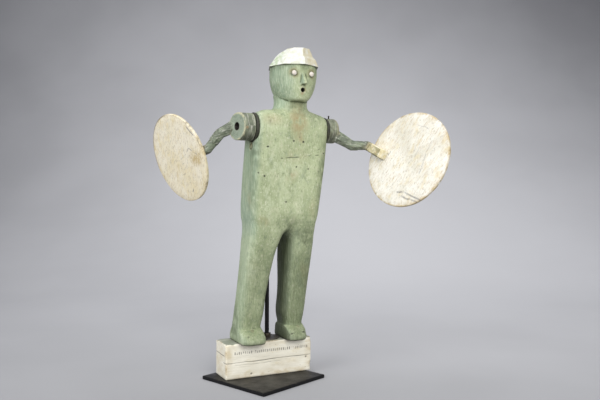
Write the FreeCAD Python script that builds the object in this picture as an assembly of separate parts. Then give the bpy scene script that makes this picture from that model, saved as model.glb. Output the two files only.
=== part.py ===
import FreeCAD, Part
import math
import os

# Carved wooden whirligig: a standing figure whose two arms turn on one shoulder axle.
# Each arm ends in a split hand that holds a round wind paddle.  The figure stands on a
# wooden plinth block that turns on a steel rod rising from a square steel base plate.
#
# Frame: millimetres, +Z up, the figure faces -Y, its left hand is on +X.
# Origin: on the ground, under the rod's axis.

Vector = FreeCAD.Vector

# ---------------------------------------------------------------- driving dimensions
PLATE_SIDE = 127.0              # 5 in square steel plate
PLATE_THICK = 5.0
PLATE_TURN = 22.0               # the plate sits askew under the block, degrees
PLATE_CENTRE = (-13.0, -19.5)

ROD_R = 3.175                   # 1/4 in steel rod
ROD_TOP_Z = 240.0
ROD_SOCKET_FLOOR = 1.0          # blind threaded socket in the plate
RUNNING_CLEARANCE = 0.05        # radial, for everything that turns

BLOCK_LENGTH = 136.5
BLOCK_DEPTH = 44.0
BLOCK_HEIGHT = 50.5
BLOCK_CENTRE = (-5.0, -1.0)
BLOCK_EDGE = 1.2

WASHER_R = 19.0                 # fender washer on the block
WASHER_THICK = 1.6
WASHER_RELIEF = 0.3             # the shoes are notched this wide of the washer
NUT_ACROSS_FLATS = 11.1         # 1/4 in hex nut
NUT_HEIGHT = 5.6

AXLE_Y = -45.0
AXLE_Z = 366.0
AXLE_R = 4.0
TUBE_R = 5.2                    # liner tube in the shoulders

SHOULDER_RIGHT_X = -39.0        # flat seats for the shoulder washers
SHOULDER_LEFT_X = 69.0
SHOULDER_SEAT_R = 21.6
SHOULDER_WASHER_R = 21.0
SHOULDER_WASHER_RIGHT = 4.5     # thickness
SHOULDER_WASHER_LEFT = 3.5
HUB_GAP = 0.8

HUB_RIGHT_R = 19.7
HUB_RIGHT_END_X = -66.0
HUB_RIGHT_SKEW = 14.0           # its end is sawn off at a slant, degrees towards the front
HUB_LEFT_R = 18.4
HUB_LEFT_END_X = 90.0
HUB_EDGE_RIGHT = 0.8
HUB_EDGE_LEFT = 3.0
AXLE_RECESS = 6.0               # the axle ends this far inside each hub's outer face
RECESS_R = 5.4                  # worn mouth of the right hub's axle hole

PADDLE_THICK = 6.0
PADDLE_LEFT = {"centre": Vector(157.3, -138.4, 321.4),
               "normal": Vector(-0.92, -0.28, 0.26),
               "radius": 70.0,
               "droop": 8.0}    # the hand points this many degrees below the paddle's centre
PADDLE_RIGHT = {"centre": Vector(-119.2, 54.3, 325.3),
                "normal": Vector(-0.91, -0.26, -0.32),
                "radius": 67.4,
                "droop": 0.0}

# centre line of each sleeve: shoulder, hub edge, elbow, wrist, with the sleeve's half width
SLEEVE_LEFT = [(Vector(81.0, -49.5, 362.5), 9.5),
               (Vector(93.0, -56.0, 355.0), 8.6),
               (Vector(111.0, -62.5, 344.2), 7.6),
               (Vector(134.0, -66.5, 345.0), 6.9)]
SLEEVE_RIGHT = [(Vector(-54.0, -38.0, 370.0), 9.5),
                (Vector(-67.0, -27.0, 366.0), 8.6),
                (Vector(-82.0, -20.0, 357.0), 7.6),
                (Vector(-96.5, -8.0, 334.8), 6.9)]

HAND_WIDTH = 14.0
HAND_THICK = 13.5
HAND_LAP = 33.0                 # how far the split hand laps over the paddle
HAND_INSIDE_SLEEVE = 8.0

EYE_NAIL_R = 3.5
EYE_NAIL_SHANK_R = 1.2
EYE_NAIL_LENGTH = 16.0
EYE_DOME_R = 1.25 * EYE_NAIL_R
EYE_DOME_CENTRE = 2.0           # behind the rim of the head
EYE_RIM_SUNK = 1.6              # the rim sits this far behind the front of the face
BRAD_R = 0.9
BRAD_HEAD_R = 1.7
BRAD_HEAD_HEIGHT = 1.2
BRAD_SHORT = 1.0                # the tips stop short of the back
BRADS = [(9.0, 2.2), (20.0, -2.2)]   # reach over the paddle, place across the hand
SCREW_R = 2.4
SCREW_HEAD_R = 4.6
SCREW_LENGTH = 78.0
SCREW_CONE = 3.0                # height of the countersunk head
SCREW_SUNK = 4.5                # the heads sit this far inside the block
FOOT_SCREWS = [(-38.0, -5.0), (37.0, -3.0)]

FOOT_NAIL_R = 1.3
FOOT_NAIL_HEAD_R = 2.6
FOOT_NAIL_HEADS = [(-36.0, -30.5), (38.0, -28.0)]
FOOT_NAIL_RISE = 18.0           # heads above the sole, tips below it
FOOT_NAIL_DEPTH = 14.0
FOOT_NAIL_SLANT = 22.0

CAP_NAIL_X = 23.0
CAP_NAILS_Y = (-66.0, -52.0)
CAP_NAIL_TIP_Z = 452.0
NAIL_PAST_AXLE = 7.0
HUB_NAIL_RIGHT = {"x": -57.5, "tilt": 98.0, "out": HUB_RIGHT_R - 0.5, "radius": 1.1, "head": 2.2}
HUB_NAIL_LEFT = {"x": 80.0, "tilt": 0.0, "out": HUB_LEFT_R + 3.6, "radius": 0.9, "head": 1.5}

BLOCK_TOP_Z = PLATE_THICK + BLOCK_HEIGHT
SOLE_Z = BLOCK_TOP_Z

# Torso sections from the fork of the legs to the shoulders:
# height, right side, left side, front, back, corner radius
TORSO = [(219.0, -41.5, 60.5, -49.0, 9.0, 12.0),
         (235.0, -42.5, 62.0, -51.0, 8.0, 12.0),
         (260.0, -44.5, 65.0, -54.0, 4.5, 12.0),
         (290.0, -44.5, 67.5, -57.5, -0.5, 12.0),
         (320.0, -44.5, 69.5, -61.0, -6.0, 12.0),
         (345.0, -43.5, 70.5, -64.5, -8.5, 12.0),
         (366.0, -43.0, 70.5, -67.0, -11.0, 11.0),
         (378.0, -41.5, 69.5, -66.0, -12.0, 11.0),
         (386.5, -36.5, 62.0, -61.5, -16.5, 11.0),
         (391.5, -27.0, 50.0, -55.5, -21.5, 10.0)]

RIGHT_LEG = [(60.0, -53.5, -17.0, -26.0, 17.0, 11.0),
             (90.0, -52.5, -14.5, -26.5, 13.5, 12.0),
             (120.0, -50.0, -11.5, -30.0, 10.0, 12.0),
             (150.0, -47.0, -7.5, -34.5, 8.5, 12.0),
             (180.0, -44.0, -2.5, -40.0, 8.5, 12.0),
             (205.0, -42.0, 4.8, -45.5, 9.0, 12.0),
             (219.0, -40.9, 12.0, -48.2, 8.4, 12.0),
             (236.0, -38.0, 17.0, -44.0, 4.0, 12.0)]

LEFT_LEG = [(60.0, 18.5, 51.5, -26.0, 17.0, 11.0),
            (90.0, 17.2, 51.8, -26.5, 13.5, 12.0),
            (120.0, 16.7, 54.5, -30.0, 10.0, 12.0),
            (150.0, 16.7, 56.7, -34.5, 8.5, 12.0),
            (180.0, 16.5, 58.4, -40.0, 8.5, 12.0),
            (205.0, 16.2, 59.3, -45.5, 9.0, 12.0),
            (219.0, 12.5, 59.9, -48.2, 8.4, 12.0),
            (236.0, 6.0, 57.0, -44.0, 4.0, 12.0)]

# Shoe sections, sole to instep: height, right side, left side, toe, heel, corner radius
RIGHT_SHOE = [(SOLE_Z, -53.5, -17.0, -44.5, 22.5, 12.0),
              (SOLE_Z + 9.0, -54.0, -17.0, -44.0, 22.0, 12.0),
              (SOLE_Z + 15.0, -53.5, -17.0, -37.0, 19.0, 11.0),
              (SOLE_Z + 20.0, -52.5, -17.0, -27.0, 16.0, 10.0)]
LEFT_SHOE = [(SOLE_Z, 18.5, 49.5, -41.0, 24.0, 12.0),
             (SOLE_Z + 9.0, 18.5, 50.0, -40.5, 23.5, 12.0),
             (SOLE_Z + 15.0, 18.5, 50.5, -34.5, 19.5, 11.0),
             (SOLE_Z + 20.0, 18.5, 50.5, -26.5, 16.0, 10.0)]

# Elliptical sections: height, centre x, centre y, half width, half depth
NECK = [(380.0, 19.0, -38.0, 33.0, 22.0),
        (391.0, 19.0, -38.5, 27.5, 21.5),
        (400.0, 19.0, -39.5, 24.5, 23.0),
        (414.0, 19.5, -41.0, 26.0, 26.0)]
HEAD = [(404.0, 20.0, -54.0, 14.0, 17.5),
        (408.0, 20.0, -50.0, 21.0, 25.0),
        (415.0, 20.0, -46.5, 27.0, 30.0),
        (425.0, 20.5, -45.0, 31.0, 33.0),
        (435.0, 21.0, -44.0, 33.3, 34.5),
        (446.0, 21.5, -44.0, 34.0, 35.0),
        (456.0, 21.5, -44.0, 33.0, 34.0),
        (464.0, 21.5, -44.0, 27.0, 29.0)]

HEAD_X = 21.3                   # the face's middle plane
CHIN_Z = 404.0
CROWN_Z = 480.0
EYE_LINE_Z = (CHIN_Z + CROWN_Z) / 2.0
EYE_SPACING = 27.0              # two eye widths of a head five eyes wide
NOSE_BASE_Z = CHIN_Z + 0.29 * (CROWN_Z - CHIN_Z)
BROW_Z = CHIN_Z + 0.56 * (CROWN_Z - CHIN_Z)
MOUTH_Z = NOSE_BASE_Z - (NOSE_BASE_Z - CHIN_Z) / 3.0
NOSE_WIDTH = 13.0
NOSE_REACH = 7.5
NOSE_TIP_WIDTH = 4.4
NOSE_TIP_RISE = 0.6
NOSE_ROOT = 6.0                 # the wedge starts this far inside the face
BRIDGE_WIDTH = 4.8
RIDGE_WIDTH = 2.8
MOUTH_R = 3.0
MOUTH_DEPTH = 9.0
FACE_Y = -78.5                  # front of the face at the eye line

# Octagonal cap sections: height, centre x, centre y, half width, half depth
CAP = [(454.0, 21.5, -44.0, 38.3, 39.8),
       (464.0, 22.0, -45.5, 32.5, 35.0),
       (468.5, 21.5, -46.0, 28.8, 30.5),
       (473.5, 22.0, -48.5, 25.0, 26.5),
       (CROWN_Z, 24.0, -55.0, 17.0, 17.5)]


# ---------------------------------------------------------------- building blocks
def rounded_rectangle(height, right, left, front, back, corner):
    """Horizontal rounded rectangle as a closed wire of four lines and four arcs."""
    corner = min(corner, (left - right) / 2.0 - 0.3, (back - front) / 2.0 - 0.3)
    centres = [(left - corner, back - corner, 0.0),
               (right + corner, back - corner, 90.0),
               (right + corner, front + corner, 180.0),
               (left - corner, front + corner, 270.0)]
    arcs = []
    for x, y, start in centres:
        points = []
        for step in (0.0, 45.0, 90.0):
            angle = math.radians(start + step)
            points.append(Vector(x + corner * math.cos(angle), y + corner * math.sin(angle), height))
        arcs.append(points)
    edges = []
    for index, points in enumerate(arcs):
        edges.append(Part.Arc(*points).toShape())
        following = arcs[(index + 1) % len(arcs)]
        edges.append(Part.LineSegment(points[2], following[0]).toShape())
    return Part.Wire(edges)


def ellipse_points(height, x, y, half_width, half_depth, count=16):
    """Closed smooth curve through points of an ellipse, so that all sections match."""
    points = []
    for index in range(count):
        angle = 2.0 * math.pi * index / count
        points.append(Vector(x + half_width * math.sin(angle), y - half_depth * math.cos(angle), height))
    curve = Part.BSplineCurve()
    curve.interpolate(Points=points, PeriodicFlag=True)
    return Part.Wire([curve.toShape()])


def octagon(height, x, y, half_width, half_depth):
    """Horizontal octagon with corners to the front, back and both sides."""
    points = []
    for index in range(8):
        angle = math.radians(45.0 * index - 90.0)
        points.append(Vector(x + half_width * math.cos(angle), y + half_depth * math.sin(angle), height))
    return Part.makePolygon(points + points[:1])


def loft(wires, ruled=False):
    return Part.makeLoft(wires, True, ruled)


def cylinder(start, end, radius):
    along = end - start
    return Part.makeCylinder(radius, along.Length, start, along)


def nail(tip, head_centre, radius, head_radius, head_height):
    """Round nail: a shank from its tip to its head, and a thin flat head on top."""
    direction = (head_centre - tip).normalize()
    head_top = head_centre + direction * head_height
    shank = cylinder(tip, head_centre, radius)
    return shank.fuse(cylinder(head_centre, head_top, head_radius)).removeSplitter()


def frame_from(normal, along):
    """Right-handed frame: along, across and normal, all of unit length."""
    normal = Vector(normal).normalize()
    along = (along - normal * along.dot(normal)).normalize()
    return along, normal.cross(along), normal


def paddle(data):
    normal = Vector(data["normal"]).normalize()
    start = data["centre"] - normal * (PADDLE_THICK / 2.0)
    return Part.makeCylinder(data["radius"], PADDLE_THICK, start, normal)


def sleeve(stations):
    """Angular carved sleeve: octagonal sections set square to the mean run at each station."""
    wires = []
    last = len(stations) - 1
    for index, (point, half_width) in enumerate(stations):
        before = stations[max(index - 1, 0)][0]
        after = stations[min(index + 1, last)][0]
        direction = (after - before).normalize()
        across = Vector(0, 0, 1).cross(direction).normalize()
        up = across.cross(direction)
        corners = []
        for side in range(8):
            angle = math.radians(45.0 * side + 22.5)
            reach = half_width / math.cos(math.radians(22.5))
            corners.append(point + across * (reach * math.cos(angle)) + up * (reach * math.sin(angle)))
        wires.append(Part.makePolygon(corners + corners[:1]))
    return loft(wires, ruled=True)


def hand_frame(data, wrist):
    """Directions along the hand, across it and out of the paddle's face."""
    along, across, normal = frame_from(data["normal"], data["centre"] - wrist)
    droop = math.radians(data["droop"])
    along = along * math.cos(droop) - across * math.sin(droop)
    return along, normal.cross(along), normal


def hand(data, wrist):
    """Flat tongue in the paddle's plane, from inside the sleeve to the end of the lap."""
    along, across, normal = hand_frame(data, wrist)
    reach = (data["centre"] - wrist).Length - data["radius"] + HAND_LAP
    corner = wrist - along * HAND_INSIDE_SLEEVE - across * (HAND_WIDTH / 2.0) - normal * (HAND_THICK / 2.0)
    placement = FreeCAD.Placement(corner, FreeCAD.Rotation(along, across, normal, "XYZ"))
    box = Part.makeBox(reach + HAND_INSIDE_SLEEVE, HAND_WIDTH, HAND_THICK)
    box = box.makeChamfer(1.2, box.Edges)
    box.Placement = placement
    return box


def brads_through(data, wrist):
    """Two brads through the lap of hand and paddle, with their heads on the side that the paddle faces."""
    along, across, normal = hand_frame(data, wrist)
    hand_level = (wrist - data["centre"]).dot(normal)
    front = max(PADDLE_THICK / 2.0, hand_level + HAND_THICK / 2.0)
    back = min(-PADDLE_THICK / 2.0, hand_level - HAND_THICK / 2.0)
    rim = wrist - normal * hand_level + along * ((data["centre"] - wrist).Length - data["radius"])
    brads = []
    for reach, offset in BRADS:
        middle = rim + along * reach + across * offset
        tip = middle + normal * (back + BRAD_SHORT)
        head = middle + normal * (front - BRAD_HEAD_HEIGHT / 2.0)
        brads.append(nail(tip, head, BRAD_R, BRAD_HEAD_R, BRAD_HEAD_HEIGHT))
    return brads


def on_axle(x):
    return Vector(x, AXLE_Y, AXLE_Z)


def hub(inner_x, outer_x, radius, edge, skew):
    """Round hub on the axle.  Its outer end leans towards the front by skew degrees."""
    outwards = math.copysign(1.0, outer_x - inner_x)
    spare = radius * math.tan(math.radians(skew)) + 1.0
    body = cylinder(on_axle(inner_x), on_axle(outer_x + outwards * spare), radius)
    waste = Part.makeBox(4.0 * radius, 4.0 * radius, 4.0 * radius, Vector(0, -2.0 * radius, -2.0 * radius))
    angle = 180.0 + skew if outwards < 0 else -skew
    waste.Placement = FreeCAD.Placement(on_axle(outer_x), FreeCAD.Rotation(Vector(0, 0, 1), angle))
    body = body.cut(waste)
    outer_edge = [e for e in body.Edges if len(e.Vertexes) == 1 and abs(e.CenterOfMass.x - outer_x) < 0.5]
    return body.makeChamfer(edge, outer_edge)


def cut_all(shape, tools):
    for tool in tools:
        shape = shape.cut(tool)
    return shape


def compound(shapes):
    return Part.makeCompound(shapes)


# ---------------------------------------------------------------- stand
def make_base_plate():
    half = PLATE_SIDE / 2.0
    plate = Part.makeBox(PLATE_SIDE, PLATE_SIDE, PLATE_THICK, Vector(-half, -half, 0.0))
    plate = plate.makeChamfer(0.5, plate.Edges)
    plate.rotate(Vector(0, 0, 0), Vector(0, 0, 1), PLATE_TURN)
    plate.translate(Vector(PLATE_CENTRE[0], PLATE_CENTRE[1], 0.0))
    return plate.cut(cylinder(Vector(0, 0, ROD_SOCKET_FLOOR), Vector(0, 0, PLATE_THICK + 1), ROD_R))


def make_stand_rod():
    rod = cylinder(Vector(0, 0, ROD_SOCKET_FLOOR), Vector(0, 0, ROD_TOP_Z), ROD_R)
    top = [e for e in rod.Edges if abs(e.BoundBox.Center.z - ROD_TOP_Z) < 0.1]
    return rod.makeChamfer(0.8, top)


def make_rod_washer():
    start = Vector(0, 0, BLOCK_TOP_Z)
    end = Vector(0, 0, BLOCK_TOP_Z + WASHER_THICK)
    return cylinder(start, end, WASHER_R).cut(cylinder(start, end, ROD_R))


def make_rod_nut():
    """Hexagonal nut with its corners turned down at top and bottom."""
    base = BLOCK_TOP_Z + WASHER_THICK
    reach = NUT_ACROSS_FLATS / 2.0 / math.cos(math.radians(30.0))
    corners = []
    for index in range(7):
        angle = math.radians(60.0 * index)
        corners.append(Vector(reach * math.cos(angle), reach * math.sin(angle), base))
    hexagon = Part.Face(Part.makePolygon(corners)).extrude(Vector(0, 0, NUT_HEIGHT))
    turned = cylinder(Vector(0, 0, base), Vector(0, 0, base + NUT_HEIGHT), reach)
    ends = [e for e in turned.Edges if len(e.Vertexes) == 1]
    turned = turned.makeChamfer(0.6, ends)
    return hexagon.common(turned).cut(cylinder(Vector(0, 0, base), Vector(0, 0, base + NUT_HEIGHT), ROD_R))


# ---------------------------------------------------------------- fasteners of the figure
def make_foot_screws():
    """Two wood screws driven up through the block, one into each leg."""
    screws = []
    for x, y in FOOT_SCREWS:
        head = Vector(x, y, PLATE_THICK + SCREW_SUNK)
        neck = head + Vector(0, 0, SCREW_CONE)
        shank = cylinder(neck, head + Vector(0, 0, SCREW_LENGTH), SCREW_R)
        cone = Part.makeCone(SCREW_HEAD_R, SCREW_R, neck.z - head.z, head, Vector(0, 0, 1))
        screws.append(shank.fuse(cone).removeSplitter())
    return screws


def make_foot_nails():
    """One nail slanted down through the front of each shoe into the block."""
    nails = []
    for x, y in FOOT_NAIL_HEADS:
        head = Vector(x, y, SOLE_Z + FOOT_NAIL_RISE)
        tip = Vector(x + 1.0, y + FOOT_NAIL_SLANT, SOLE_Z - FOOT_NAIL_DEPTH)
        nails.append(nail(tip, head, FOOT_NAIL_R, FOOT_NAIL_HEAD_R, 1.6))
    return nails


def make_cap_nails():
    """Two brads down through the cap into the crown of the head."""
    nails = []
    for y in CAP_NAILS_Y:
        tip = Vector(CAP_NAIL_X, y, CAP_NAIL_TIP_Z)
        nails.append(nail(tip, Vector(CAP_NAIL_X, y, CROWN_Z - 0.8), BRAD_R, BRAD_HEAD_R, 0.8))
    return nails


def make_eye_nail(x):
    """Nail with a domed head, driven into the face as an eye."""
    head = Vector(x, FACE_Y + EYE_RIM_SUNK, EYE_LINE_Z)
    shank = cylinder(head + Vector(0, EYE_NAIL_LENGTH, 0), head, EYE_NAIL_SHANK_R)
    ball = Part.makeSphere(EYE_DOME_R, head + Vector(0, EYE_DOME_CENTRE, 0))
    front = cylinder(head, head + Vector(0, -EYE_DOME_R, 0), EYE_NAIL_R)
    return shank.fuse(ball.common(front)).removeSplitter()


def make_hub_nail(data):
    """Nail driven into a hub from its rim, through the axle.  Its tilt is from upright to the front."""
    angle = math.radians(data["tilt"])
    direction = Vector(0, -math.sin(angle), math.cos(angle))
    head = on_axle(data["x"]) + direction * data["out"]
    tip = on_axle(data["x"]) - direction * NAIL_PAST_AXLE
    return nail(tip, head, data["radius"], data["head"], 1.0)


# ---------------------------------------------------------------- figure
def make_head():
    return loft([ellipse_points(*section) for section in HEAD])


def make_nose():
    """Wedge nose with a flat base, as if left standing from the block."""
    def slice_at(back_width, back_y, back_z, front_width, front_y, front_z):
        corners = [Vector(HEAD_X - back_width / 2.0, back_y, back_z),
                   Vector(HEAD_X + back_width / 2.0, back_y, back_z),
                   Vector(HEAD_X + front_width / 2.0, front_y, front_z),
                   Vector(HEAD_X - front_width / 2.0, front_y, front_z)]
        return Part.makePolygon(corners + corners[:1])

    root = FACE_Y + NOSE_ROOT
    tip_z = NOSE_BASE_Z + NOSE_TIP_RISE
    base = slice_at(NOSE_WIDTH, root, NOSE_BASE_Z, NOSE_TIP_WIDTH, FACE_Y - NOSE_REACH, tip_z)
    bridge = slice_at(BRIDGE_WIDTH, root, BROW_Z, RIDGE_WIDTH, FACE_Y + 0.5, BROW_Z)
    return loft([base, bridge], ruled=True)


def make_body(bores):
    """Torso, legs, shoes, neck and head, carved from one piece."""
    solid = loft([rounded_rectangle(*section) for section in TORSO])
    for sections in (RIGHT_LEG, LEFT_LEG, RIGHT_SHOE, LEFT_SHOE):
        solid = solid.fuse(loft([rounded_rectangle(*section) for section in sections]))
    solid = solid.fuse(loft([ellipse_points(*section) for section in NECK]))
    solid = solid.fuse(make_head()).fuse(make_nose())
    mouth_front = Vector(HEAD_X, FACE_Y - 6.0, MOUTH_Z)
    mouth_back = Vector(HEAD_X, FACE_Y + MOUTH_DEPTH + 4.0, MOUTH_Z)
    seats = [cylinder(on_axle(SHOULDER_RIGHT_X), on_axle(SHOULDER_RIGHT_X - 30.0), SHOULDER_SEAT_R),
             cylinder(on_axle(SHOULDER_LEFT_X), on_axle(SHOULDER_LEFT_X + 30.0), SHOULDER_SEAT_R)]
    rod_bore = cylinder(Vector(0, 0, 100.0), Vector(0, 0, ROD_TOP_Z + 1.0), ROD_R + RUNNING_CLEARANCE)
    tube_bore = cylinder(on_axle(SHOULDER_RIGHT_X - 1.0), on_axle(SHOULDER_LEFT_X + 1.0), TUBE_R)
    below_soles = Part.makeBox(300.0, 300.0, 20.0, Vector(-150.0, -150.0, SOLE_Z - 20.0))
    notch_top = Vector(0, 0, SOLE_Z + WASHER_THICK + WASHER_RELIEF)
    washer_notch = cylinder(Vector(0, 0, SOLE_Z - 1.0), notch_top, WASHER_R + WASHER_RELIEF)
    mouth = cylinder(mouth_front, mouth_back, MOUTH_R)
    solid = cut_all(solid, [below_soles, washer_notch, mouth, tube_bore, rod_bore] + seats)
    return cut_all(solid, bores)


def make_block(screws, nails):
    corner = Vector(BLOCK_CENTRE[0] - BLOCK_LENGTH / 2.0, BLOCK_CENTRE[1] - BLOCK_DEPTH / 2.0, PLATE_THICK)
    block = Part.makeBox(BLOCK_LENGTH, BLOCK_DEPTH, BLOCK_HEIGHT, corner)
    block = block.makeChamfer(BLOCK_EDGE, block.Edges)
    rod_bore = cylinder(Vector(0, 0, 0), Vector(0, 0, BLOCK_TOP_Z + 1.0), ROD_R + RUNNING_CLEARANCE)
    counterbores = []
    for x, y in FOOT_SCREWS:
        counterbores.append(cylinder(Vector(x, y, 0.0), Vector(x, y, PLATE_THICK + SCREW_SUNK), SCREW_HEAD_R))
    return cut_all(block, [rod_bore] + counterbores + screws + nails)


def make_cap(nails):
    """Faceted cap, hollowed to the crown of the head."""
    solid = loft([octagon(*section) for section in CAP], ruled=True)
    return cut_all(solid, [make_head()] + nails)


# ---------------------------------------------------------------- rotor
def make_arm(hub_solid, stations, data, cutters):
    wrist = stations[-1][0]
    solid = hub_solid.fuse(sleeve(stations)).fuse(hand(data, wrist)).removeSplitter()
    return cut_all(solid, cutters)


def main():
    os.makedirs("parts", exist_ok=True)
    nodes = {}

    nodes["base_plate"] = make_base_plate()
    nodes["stand_rod"] = make_stand_rod()
    nodes["rod_washer"] = make_rod_washer()
    nodes["rod_nut"] = make_rod_nut()

    screws = make_foot_screws()
    foot_nails = make_foot_nails()
    cap_nails = make_cap_nails()
    eye_right = make_eye_nail(HEAD_X - EYE_SPACING / 2.0)
    eye_left = make_eye_nail(HEAD_X + EYE_SPACING / 2.0)
    nodes["foot_screws"] = compound(screws)
    nodes["foot_nails"] = compound(foot_nails)
    nodes["cap_nails"] = compound(cap_nails)
    nodes["eye_nail_right"] = eye_right
    nodes["eye_nail_left"] = eye_left
    nodes["plinth_block"] = make_block(screws, foot_nails)
    nodes["body"] = make_body(screws + foot_nails + cap_nails + [eye_right, eye_left])
    nodes["cap"] = make_cap(cap_nails)

    tube = cylinder(on_axle(SHOULDER_RIGHT_X), on_axle(SHOULDER_LEFT_X), TUBE_R)
    axle_room = cylinder(on_axle(-100.0), on_axle(120.0), AXLE_R + RUNNING_CLEARANCE)
    nodes["axle_tube"] = tube.cut(axle_room)
    right_inner = SHOULDER_RIGHT_X - SHOULDER_WASHER_RIGHT
    left_inner = SHOULDER_LEFT_X + SHOULDER_WASHER_LEFT
    nodes["shoulder_washer_right"] = cylinder(on_axle(SHOULDER_RIGHT_X), on_axle(right_inner),
                                              SHOULDER_WASHER_R).cut(axle_room)
    nodes["shoulder_washer_left"] = cylinder(on_axle(SHOULDER_LEFT_X), on_axle(left_inner),
                                             SHOULDER_WASHER_R - 1.5).cut(axle_room)

    axle = cylinder(on_axle(HUB_RIGHT_END_X + AXLE_RECESS), on_axle(HUB_LEFT_END_X - AXLE_RECESS), AXLE_R)
    hub_nail_right = make_hub_nail(HUB_NAIL_RIGHT)
    hub_nail_left = make_hub_nail(HUB_NAIL_LEFT)
    nodes["hub_nail_right"] = hub_nail_right
    nodes["hub_nail_left"] = hub_nail_left
    nodes["axle"] = cut_all(axle, [hub_nail_right, hub_nail_left])

    axle_bore = cylinder(on_axle(-100.0), on_axle(120.0), AXLE_R)
    recess = cylinder(on_axle(HUB_RIGHT_END_X + AXLE_RECESS), on_axle(-100.0), RECESS_R)
    hub_right = hub(right_inner - HUB_GAP, HUB_RIGHT_END_X, HUB_RIGHT_R, HUB_EDGE_RIGHT, HUB_RIGHT_SKEW)
    hub_left = hub(left_inner + HUB_GAP, HUB_LEFT_END_X, HUB_LEFT_R, HUB_EDGE_LEFT, 0.0)
    for side, data, stations, hub_solid, bores in (
            ("right", PADDLE_RIGHT, SLEEVE_RIGHT, hub_right, [recess, axle_bore, hub_nail_right]),
            ("left", PADDLE_LEFT, SLEEVE_LEFT, hub_left, [axle_bore, hub_nail_left])):
        disc = paddle(data)
        brads = brads_through(data, stations[-1][0])
        nodes["arm_" + side] = make_arm(hub_solid, stations, data, [disc] + bores + brads)
        nodes["paddle_" + side] = cut_all(disc, brads)
        nodes["paddle_brads_" + side] = compound(brads)

    for name, shape in nodes.items():
        shape.exportStep("parts/%s.step" % name)


main()
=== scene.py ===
"""Looks of the wooden whirligig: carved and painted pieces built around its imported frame."""
import itertools
import math

import bmesh
import bpy
import numpy as np
from mathutils import Matrix, Vector


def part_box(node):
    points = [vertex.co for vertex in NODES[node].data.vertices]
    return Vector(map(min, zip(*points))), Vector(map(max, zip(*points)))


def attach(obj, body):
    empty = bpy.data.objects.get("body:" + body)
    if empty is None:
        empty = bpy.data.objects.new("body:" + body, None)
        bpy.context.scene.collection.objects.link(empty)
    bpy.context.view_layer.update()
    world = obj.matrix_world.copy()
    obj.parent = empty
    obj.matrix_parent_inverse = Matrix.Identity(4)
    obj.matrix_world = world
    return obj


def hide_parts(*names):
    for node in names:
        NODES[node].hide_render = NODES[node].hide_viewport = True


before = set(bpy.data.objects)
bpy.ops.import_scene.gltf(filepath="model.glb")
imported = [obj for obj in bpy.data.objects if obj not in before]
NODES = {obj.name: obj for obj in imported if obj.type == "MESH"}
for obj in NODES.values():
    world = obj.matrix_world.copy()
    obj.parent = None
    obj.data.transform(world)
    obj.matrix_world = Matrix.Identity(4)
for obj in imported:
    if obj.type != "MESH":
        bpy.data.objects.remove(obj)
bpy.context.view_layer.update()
SCENE = bpy.context.scene
MM = 0.001
FAR = 99

# ---------- sizes shared with the frame, in mm
SIDES = ("right", "left")
PLATE_SIDE, PLATE_THICK, PLATE_TURN = 127, 5, 22
PLATE_CENTRE = (-13, -19.5)
ROD_R, ROD_FIT = 3.3, 0.125
BLOCK_LOW, BLOCK_HIGH = np.array([-73.25, -23, 5]), np.array([63.25, 21, 55.5])
AXLE = np.array([0, -45, 366])
PADDLES = {
    "left": {"centre": (157.3, -138.4, 321.4), "normal": (-0.92, -0.28, 0.26), "radius": 70,
             "elbow": (111, -62.5, 344.2), "wrist": (134, -66.5, 345), "droop": 8},
    "right": {"centre": (-119.2, 54.3, 325.3), "normal": (-0.91, -0.26, -0.32), "radius": 67.4,
              "elbow": (-82, -20, 357), "wrist": (-96.5, -8, 334.8), "droop": 0},
}
PADDLE_THICK, HAND_THICK, HAND_LAP = 6, 13.5, 33
EYE_R = 3.5
MOUTH = np.array([21.3, -76, 418.7])
FACE_Y = -60


# ---------- repeatable noise; co is always an array of points in mm
def lattice(cell, seed):
    """A repeatable number from 0 to 1 for each whole-number cell."""
    c = cell.astype(np.int64)
    h = (c[..., 0] * 374761393 + c[..., 1] * 668265263 + c[..., 2] * 1103515245 + seed * 974634777) & 0xFFFFFFFF
    h = ((h ^ (h >> 13)) * 1274126177) & 0xFFFFFFFF
    h = h ^ (h >> 16)
    return (h & 0xFFFFFF) / float(0xFFFFFF)


def noise(co, size, seed):
    """Smooth noise from -1 to 1 with lumps size mm across, one number or three."""
    p = co / np.asarray(size, float)
    base = np.floor(p)
    f = p - base
    f = f * f * f * (f * (f * 6 - 15) + 10)
    total = np.zeros(len(co))
    for corner in itertools.product((0, 1), repeat=3):
        total += np.prod(np.where(corner, f, 1 - f), axis=-1) * lattice(base + corner, seed)
    return 2 * total - 1


def fbm(co, size, seed, octaves=4):
    """Noise with finer noise of half the size and strength added, octaves times in all."""
    size = np.asarray(size, float)
    total, norm = np.zeros(len(co)), 0
    for k in range(octaves):
        total += 0.5**k * noise(co + 31.7 * k, size / 2**k, seed + k)
        norm += 0.5**k
    return total / norm


def facets(co, size, seed):
    """Squared distance to the nearest of one random point per cell, like the marks of a gouge."""
    p = co / np.asarray(size, float)
    base = np.floor(p)
    near = np.full(len(p), FAR)
    for corner in itertools.product((-1, 0, 1), repeat=3):
        cell = base + corner
        at = cell + np.stack([lattice(cell, seed + k) for k in range(3)], -1)
        near = np.minimum(near, np.linalg.norm(at - p, axis=1))
    return near**2


def rise(x, low, high):
    """0 up to low, 1 from high."""
    t = np.clip((x - low) / (high - low), 0, 1)
    return t * t * (3 - 2 * t)


def fall(x, low, high):
    """1 up to low, 0 from high."""
    return 1 - rise(x, low, high)


def seam(away, thin, wide):
    """1 within thin of 0, 0 beyond wide."""
    return fall(np.abs(away), thin, wide)


def band(value, middle, half):
    """1 around middle, falling to 0 at half away."""
    return seam(value - middle, 0.45 * half, half)


def most(*values):
    """The greatest of several values at each point."""
    return np.maximum.reduce(np.broadcast_arrays(*values))


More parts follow.
